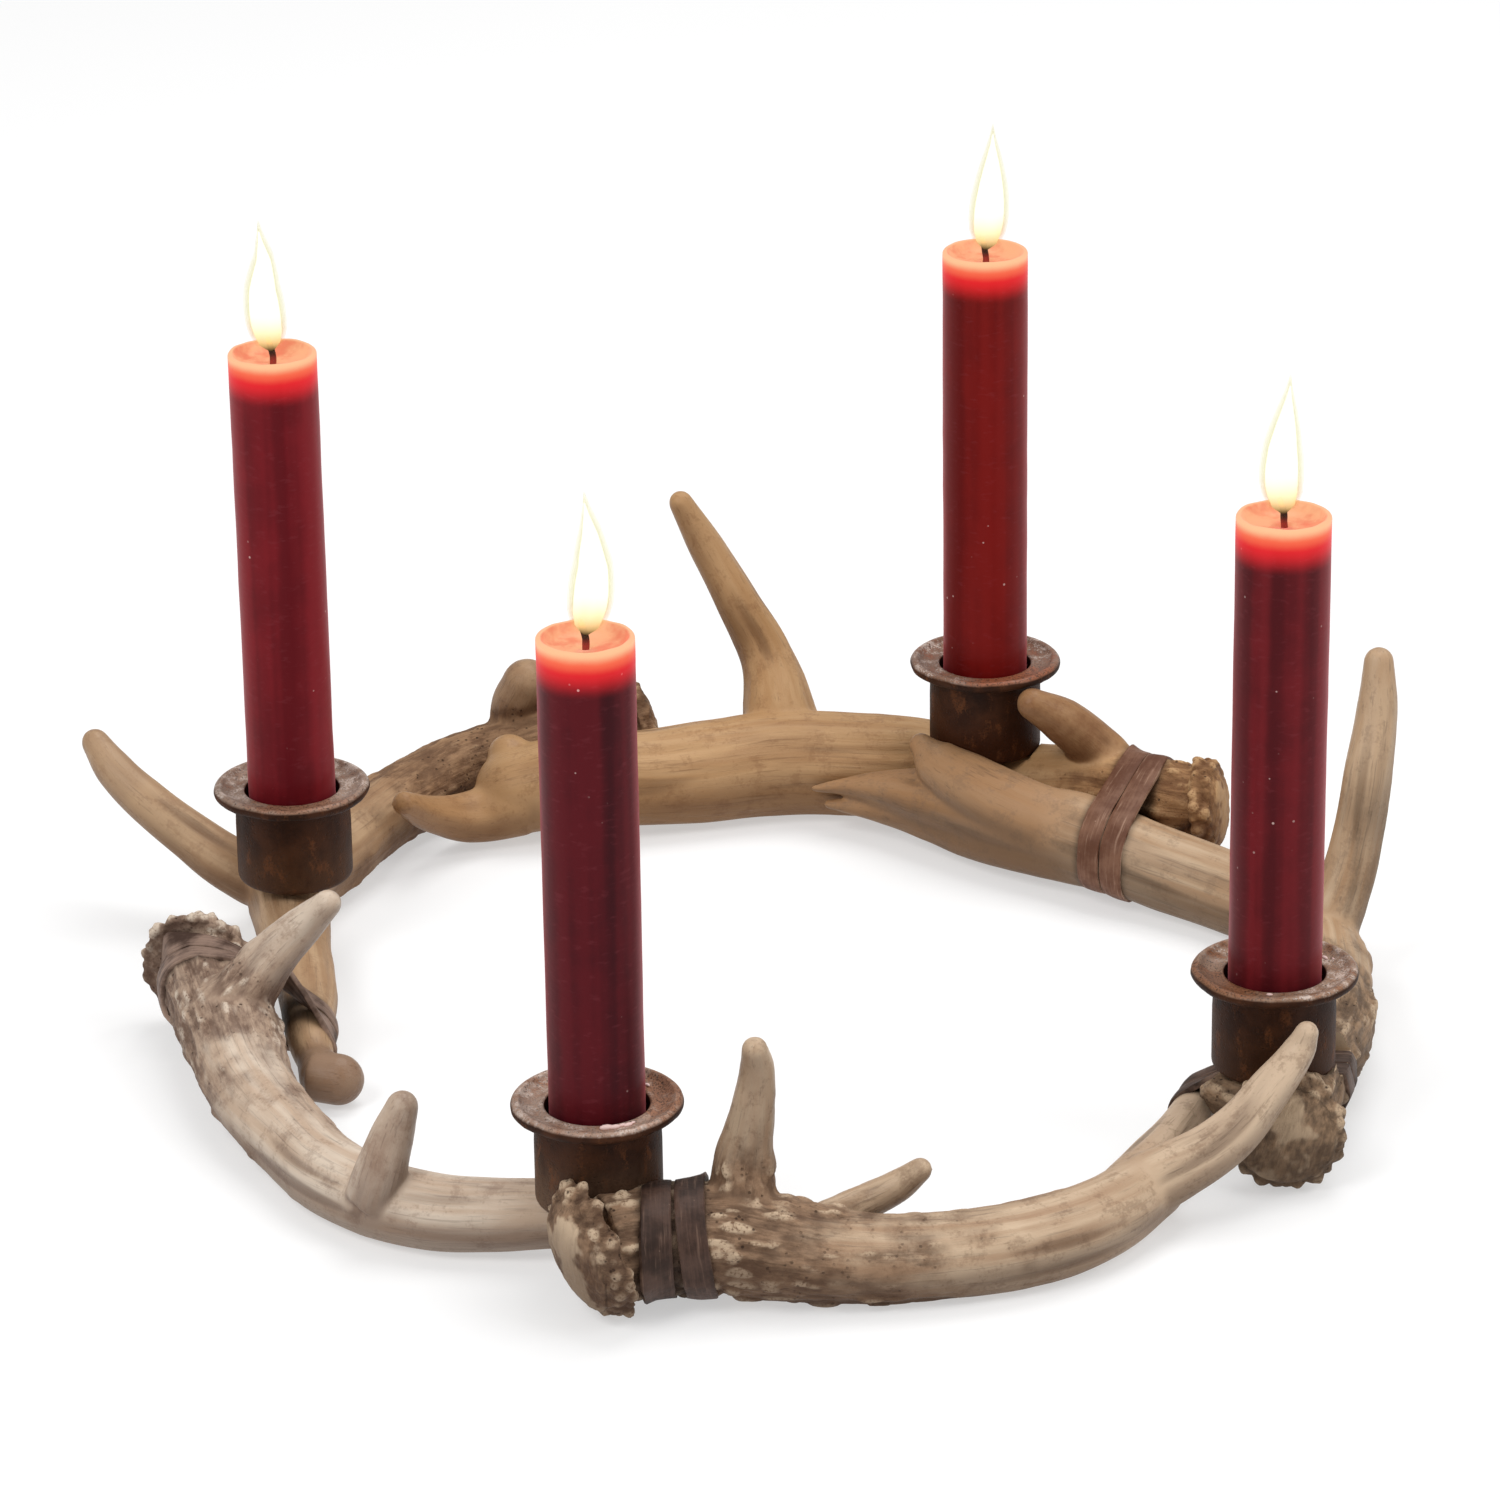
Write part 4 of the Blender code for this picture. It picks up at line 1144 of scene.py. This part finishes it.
def make_candle(key):
    """A candle standing in its cup, with the melted hollow at its top."""
    cup = CUPS[key]
    foot = cup["rim"] - CUP_HEIGHT + CUP_FLOOR + FIT_GAP
    top = cup["rim"] + cup["candle"] - foot
    pool = top - MELT_POOL_DEPTH
    hole = WICK_RADIUS + FIT_GAP
    side = CANDLE_RADIUS
    glow_rings = [(side, top - 1.2 - step) for step in np.linspace(0, 14, 15)]
    shaft_rings = [(side, height) for height in np.linspace(top - 20, 0.8, 24)]
    profile = [
        (0, pool - WICK_SUNK - FIT_GAP), (hole, pool - WICK_SUNK - FIT_GAP), (hole, pool),
        (side - 6.5, pool + 0.1), (side - 3.4, pool + 0.45), (side - 2.2, pool + 1.3),
        (side - 1.6, top - 0.6), *arc((side - 0.8, top - 0.8), 0.8, 140, 0, 8),
        *glow_rings, *shaft_rings, (side - 0.8, 0), (0, 0),
    ]
    thing = turned("candle_" + key + "_wax", profile, (*cup["at"], foot), CANDLE_STEPS)
    drop_crumbs(thing.data, key)
    middle = place(*cup["at"], 0)
    spots = mesh_spots(thing.data) - np.array(middle) / MM
    below = cup["rim"] + cup["candle"] - spots[:, 2]
    spreads = np.hypot(spots[:, 0], spots[:, 1])
    near_top = below < MELTED_DEPTH
    keep(
        thing.data, below=below, within=(CANDLE_RADIUS - spreads) * near_top,
        crumb=spreads > CANDLE_RADIUS + 0.8,
    )
    for vertex, spread, in_pool in zip(thing.data.vertices, spreads, near_top):
        away = vertex.co - middle
        if spread > CANDLE_RADIUS - 0.2:
            wave = 0.1 * noise.noise(vertex.co / (9 * MM))
            vertex.co.x += away.x / spread * wave
            vertex.co.y += away.y / spread * wave
        elif in_pool:
            vertex.co.z += 0.25 * noise.noise(vertex.co / (4 * MM)) * MM
    return thing


def wax_material(key):
    """Dark red wax with faint upright bands, a few pale specks, and the flame's glow."""
    deep, light = (paint(*tone) for tone in WAX_TONES[key])
    material, shader, spot = new_material("candle_red_wax_" + key)
    below = attribute(spot, "below")
    within = attribute(spot, "within")
    band = spot.stretched(1, 1, 0.02).cloud(6.0, 2.0, 0.5)
    mottled = spot.cloud(12.0, 4.0, 0.6)
    scuff = spot.stretched(1, 1, 2.5).cloud(3.0, 3.0)
    speck = spot.cells(4.2)
    body = blend((band * 0.75 + mottled * 0.25).between(0.38, 0.62), deep, light)
    body = blend(scuff.between(0.55, 0.75) * 0.12, body, paint(138, 66, 74))
    dots = (1.0 - speck.between(0.05, 0.09)) * mottled.between(0.5, 0.6)
    body = blend(dots * 0.7, body, paint(214, 184, 178))
    body = blend(attribute(spot, "crumb"), body, paint(236, 208, 202))
    # Painted light: the flame's glow under the rim and in the melted pool is light that the wax gives
    # off itself, over a flat dark red base there
    pool = within.between(0.9, 1.5)
    depth = below + 1.2 * (mottled - 0.5)
    glow = blend(depth.between(0.4, 3.2), paint(255, 208, 158), paint(250, 112, 78))
    glow = blend(depth.between(2.6, 5.6), glow, paint(226, 34, 40))
    glow = blend(depth.between(4.6, 11.5), glow, (0, 0, 0, 1))
    pool_glow = blend(mottled.between(0.4, 0.6), paint(240, 142, 104), paint(255, 190, 140))
    glow = blend(pool, glow, pool_glow)
    plug(
        shader, Base_Color=blend(depth.between(2.0, 9.0), paint(90, 10, 8), body),
        Roughness=0.42 + 0.2 * mottled - 0.25 * pool, Emission_Color=glow, Emission_Strength=0.9,
        Normal=bumps(scuff * 0.6 + mottled * 0.4, 0.2, 0.5), Specular_IOR_Level=0.05,
        Coat_Weight=0.18, Coat_Roughness=0.3, Coat_IOR=1.3,
        Sheen_Weight=0.6, Sheen_Roughness=0.4, Sheen_Tint=paint(232, 128, 134),
    )
    return material


for cup_key in CUPS:
    finish_piece(make_candle(cup_key), wax_material(cup_key), "red_wax", "candle_" + cup_key)

# Wicks
# Twisted cotton wicks, each sunk in its candle, charred black where it burns and glowing
# at the curled tip.

WICK_STRANDS = 3


def make_wick(key):
    """The wick: three strands' twist in its sides, curled over at the burnt end."""
    x, y = CUPS[key]["at"]
    pool = pool_height(key)
    points = [
        (x, y, pool - WICK_SUNK, WICK_RADIUS), (x, y, pool - 0.5 * WICK_SUNK, WICK_RADIUS),
        (x, y, pool + 0.4 * WICK_STANDS, WICK_RADIUS),
        (x - 1.0, y - 0.4, pool + WICK_STANDS, 0.8 * WICK_RADIUS),
    ]
    mesh = welded_mesh(limb_curve(points, MM))
    middle = place(x, y, 0)
    for vertex in mesh.vertices:
        away = vertex.co - middle
        twist = math.cos(WICK_STRANDS * math.atan2(away.y, away.x) + vertex.co.z / (0.9 * MM))
        vertex.co += vertex.normal * 0.1 * twist * MM
    keep(mesh, above=mesh_spots(mesh)[:, 2] - pool)
    mesh.shade_smooth()
    return add_piece("wick_" + key + "_cotton", mesh)


def wick_material():
    """Waxed cotton, red-brown below, charred black, with an ember at the tip."""
    material, shader, spot = new_material("wick_charred_cotton")
    above = attribute(spot, "above")
    fluff = spot.cloud(0.5, 2.0)
    body = blend(above.between(0.5, 3.0), paint(150, 52, 44), paint(44, 28, 20))
    body = blend(fluff.between(0.4, 0.8) * 0.4, body, paint(90, 60, 44))
    ember = blend(above.between(4.5, 6.6), (0, 0, 0, 1), paint(255, 170, 60))
    plug(
        shader, Base_Color=body, Roughness=0.7 + 0.2 * fluff, Emission_Color=ember,
        Emission_Strength=1.2, Normal=bumps(fluff, 0.2, 0.5),
    )
    return material


cotton = wick_material()
for cup_key in CUPS:
    finish_piece(make_wick(cup_key), cotton, "charred_cotton", "wick_" + cup_key)

# Flames
# Still candle flames: a white-hot heart in a thin yellow mantle of nested layers, which
# fade away round the wick at the foot.

FLAME_HEIGHT = 34.4
FLAME_KNOTS = 13

# This makes the flame widest at three tenths of its height, 5.3 mm in radius
FLAME_SWELL = 14.6

# How far each flame has drifted to the right at each share of its height
FLAME_SHARES = (0.0, 0.1, 0.28, 0.5, 0.75, 1.0)
FLAME_DRIFTS = {
    "front": (0.0, 0.5, 1.5, 2.1, 1.7, 0.6),
    "left": (0.0, -0.5, -1.3, -1.7, -1.1, -2.0),
    "back": (0.0, 0.4, 0.9, 1.4, 1.8, 2.0),
    "right": (0.0, -0.3, -0.8, -0.6, 0.2, 0.9),
}

# The share of the full thickness and height that each layer of the mantle has, and the heart
VEIL_LAYERS = ((0.93, 0.985), (0.86, 0.965), (0.79, 0.945))
HEART = (0.72, 0.92)


def flame_body(key, name, swell, last):
    """A teardrop along the flame's line, of a share of its full thickness and height."""
    x, y = CUPS[key]["at"]
    start = pool_height(key) + 0.4 * WICK_STANDS
    points = []
    for share in np.linspace(0.0, 1.0, FLAME_KNOTS):
        radius = max(0.25, FLAME_SWELL * share ** 0.5 * (1.0 - share) ** 1.15)
        drift = np.interp(share, FLAME_SHARES, FLAME_DRIFTS[key])
        points.append((x + drift, y, start + FLAME_HEIGHT * last * share, radius * swell))
    mesh = welded_mesh(limb_curve(points, MM))
    keep(mesh, rise=(mesh_spots(mesh)[:, 2] - start) / FLAME_HEIGHT)
    mesh.shade_smooth()
    return add_piece("flame_" + key + "_" + name, mesh)


def flame_material(name, foot, glow, cover, strength):
    """Glowing gas: it gives its own light and lets what is behind it show through."""
    material, shader, spot = new_material(name)
    rise = attribute(spot, "rise")
    flicker = spot.stretched(1, 1, 0.3).cloud(6.0, 2.0)
    colour = blend((rise + 0.1 * (flicker - 0.5)).between(0.02, 0.34), foot, glow)
    plug(
        shader, Base_Color=(0, 0, 0, 1), Specular_IOR_Level=0.0, Roughness=1.0, Emission_Color=colour,
        Emission_Strength=strength, Alpha=cover * rise.between(0.0, 0.2) * (1.0 - 0.35 * rise),
    )
    return material


veil = flame_material("flame_veil", paint(255, 176, 100), paint(246, 240, 180), 0.16, 0.95)
heart = flame_material("flame_heart", paint(255, 214, 140), (1.0, 0.99, 0.9, 1), 0.9, 1.8)
for cup_key in CUPS:
    finish_piece(flame_body(cup_key, "veil", 1.0, 1.0), veil, "flame", "flame_" + cup_key)
    for layer, (swell, height) in enumerate(VEIL_LAYERS):
        finish_piece(flame_body(cup_key, "veil_%d" % layer, swell, height), veil, "flame")
    finish_piece(flame_body(cup_key, "heart", *HEART), heart, "flame")

# Table, light and camera
# A plain white table, faintly lit from within, that runs out of the picture. Soft light from
# all round, with softboxes at the left, at the right and above. The photograph's camera.

# The camera's place in mm, its angles in degrees, and its focal length in picture pixels
CAMERA_AT = (5.85, -1422.3, 656.0)
CAMERA_PITCH = 22.23
CAMERA_ROLL = -0.87
FOCAL_PIXELS = 6160
PICTURE_PIXELS = 1500
SENSOR_WIDTH = 36.0
TABLE_SIZE = 4.0
TABLE_GLOW = 0.48
ROOM_LIGHT = 0.42

# Softbox: where it stands and how wide it is, in metres, and its power in watts
SOFTBOXES = {
    "left_softbox": ((-0.9, -1.1, 1.5), 0.8, 15),
    "right_softbox": ((1.3, -0.5, 1.3), 0.9, 8),
    "top_softbox": ((0.3, 0.5, 1.7), 1.2, 16),
}
SOFTBOX_AIM = Vector((0, 0, 0.05))


def make_table():
    """A plain white sheet, wide enough to fill the view."""
    shape = bmesh.new()
    bmesh.ops.create_grid(shape, x_segments=2, y_segments=2, size=TABLE_SIZE)
    mesh = new_mesh("white_table", shape)
    material, shader, _ = new_material("white_table")
    plug(
        shader, Base_Color=(0.52, 0.52, 0.52, 1), Roughness=0.9, Specular_IOR_Level=0.1,
        Emission_Color=(1, 1, 1, 1), Emission_Strength=TABLE_GLOW,
    )
    mesh.materials.append(material)
    add_piece("white_table", mesh)


def softbox(name, spot, size, power):
    """A square of soft light at a spot, turned to the ring."""
    lamp = bpy.data.lights.new(name, "AREA")
    lamp.shape = "SQUARE"
    lamp.size = size
    lamp.energy = power
    thing = add_piece(name, lamp)
    thing.location = spot
    thing.rotation_euler = (SOFTBOX_AIM - Vector(spot)).to_track_quat("-Z", "Y").to_euler()


def make_camera():
    """The camera of the photograph."""
    lens = bpy.data.cameras.new("camera")
    lens.sensor_width = SENSOR_WIDTH
    lens.lens = SENSOR_WIDTH * FOCAL_PIXELS / PICTURE_PIXELS
    lens.clip_end = 20.0
    camera = add_piece("camera", lens)
    tilt = Matrix.Rotation(math.radians(90 - CAMERA_PITCH), 4, "X")
    roll = Matrix.Rotation(math.radians(CAMERA_ROLL), 4, "Z")
    camera.matrix_world = Matrix.Translation(Vector(CAMERA_AT) * MM) @ tilt @ roll
    bpy.context.scene.camera = camera


make_table()
for softbox_name, softbox_design in SOFTBOXES.items():
    softbox(softbox_name, *softbox_design)
make_camera()
world = bpy.data.worlds.new("studio")
world.use_nodes = True
background = world.node_tree.nodes["Background"]
background.inputs["Color"].default_value = (1, 1, 1, 1)
background.inputs["Strength"].default_value = ROOM_LIGHT
bpy.context.scene.world = world
bpy.context.scene.view_settings.view_transform = "Standard"
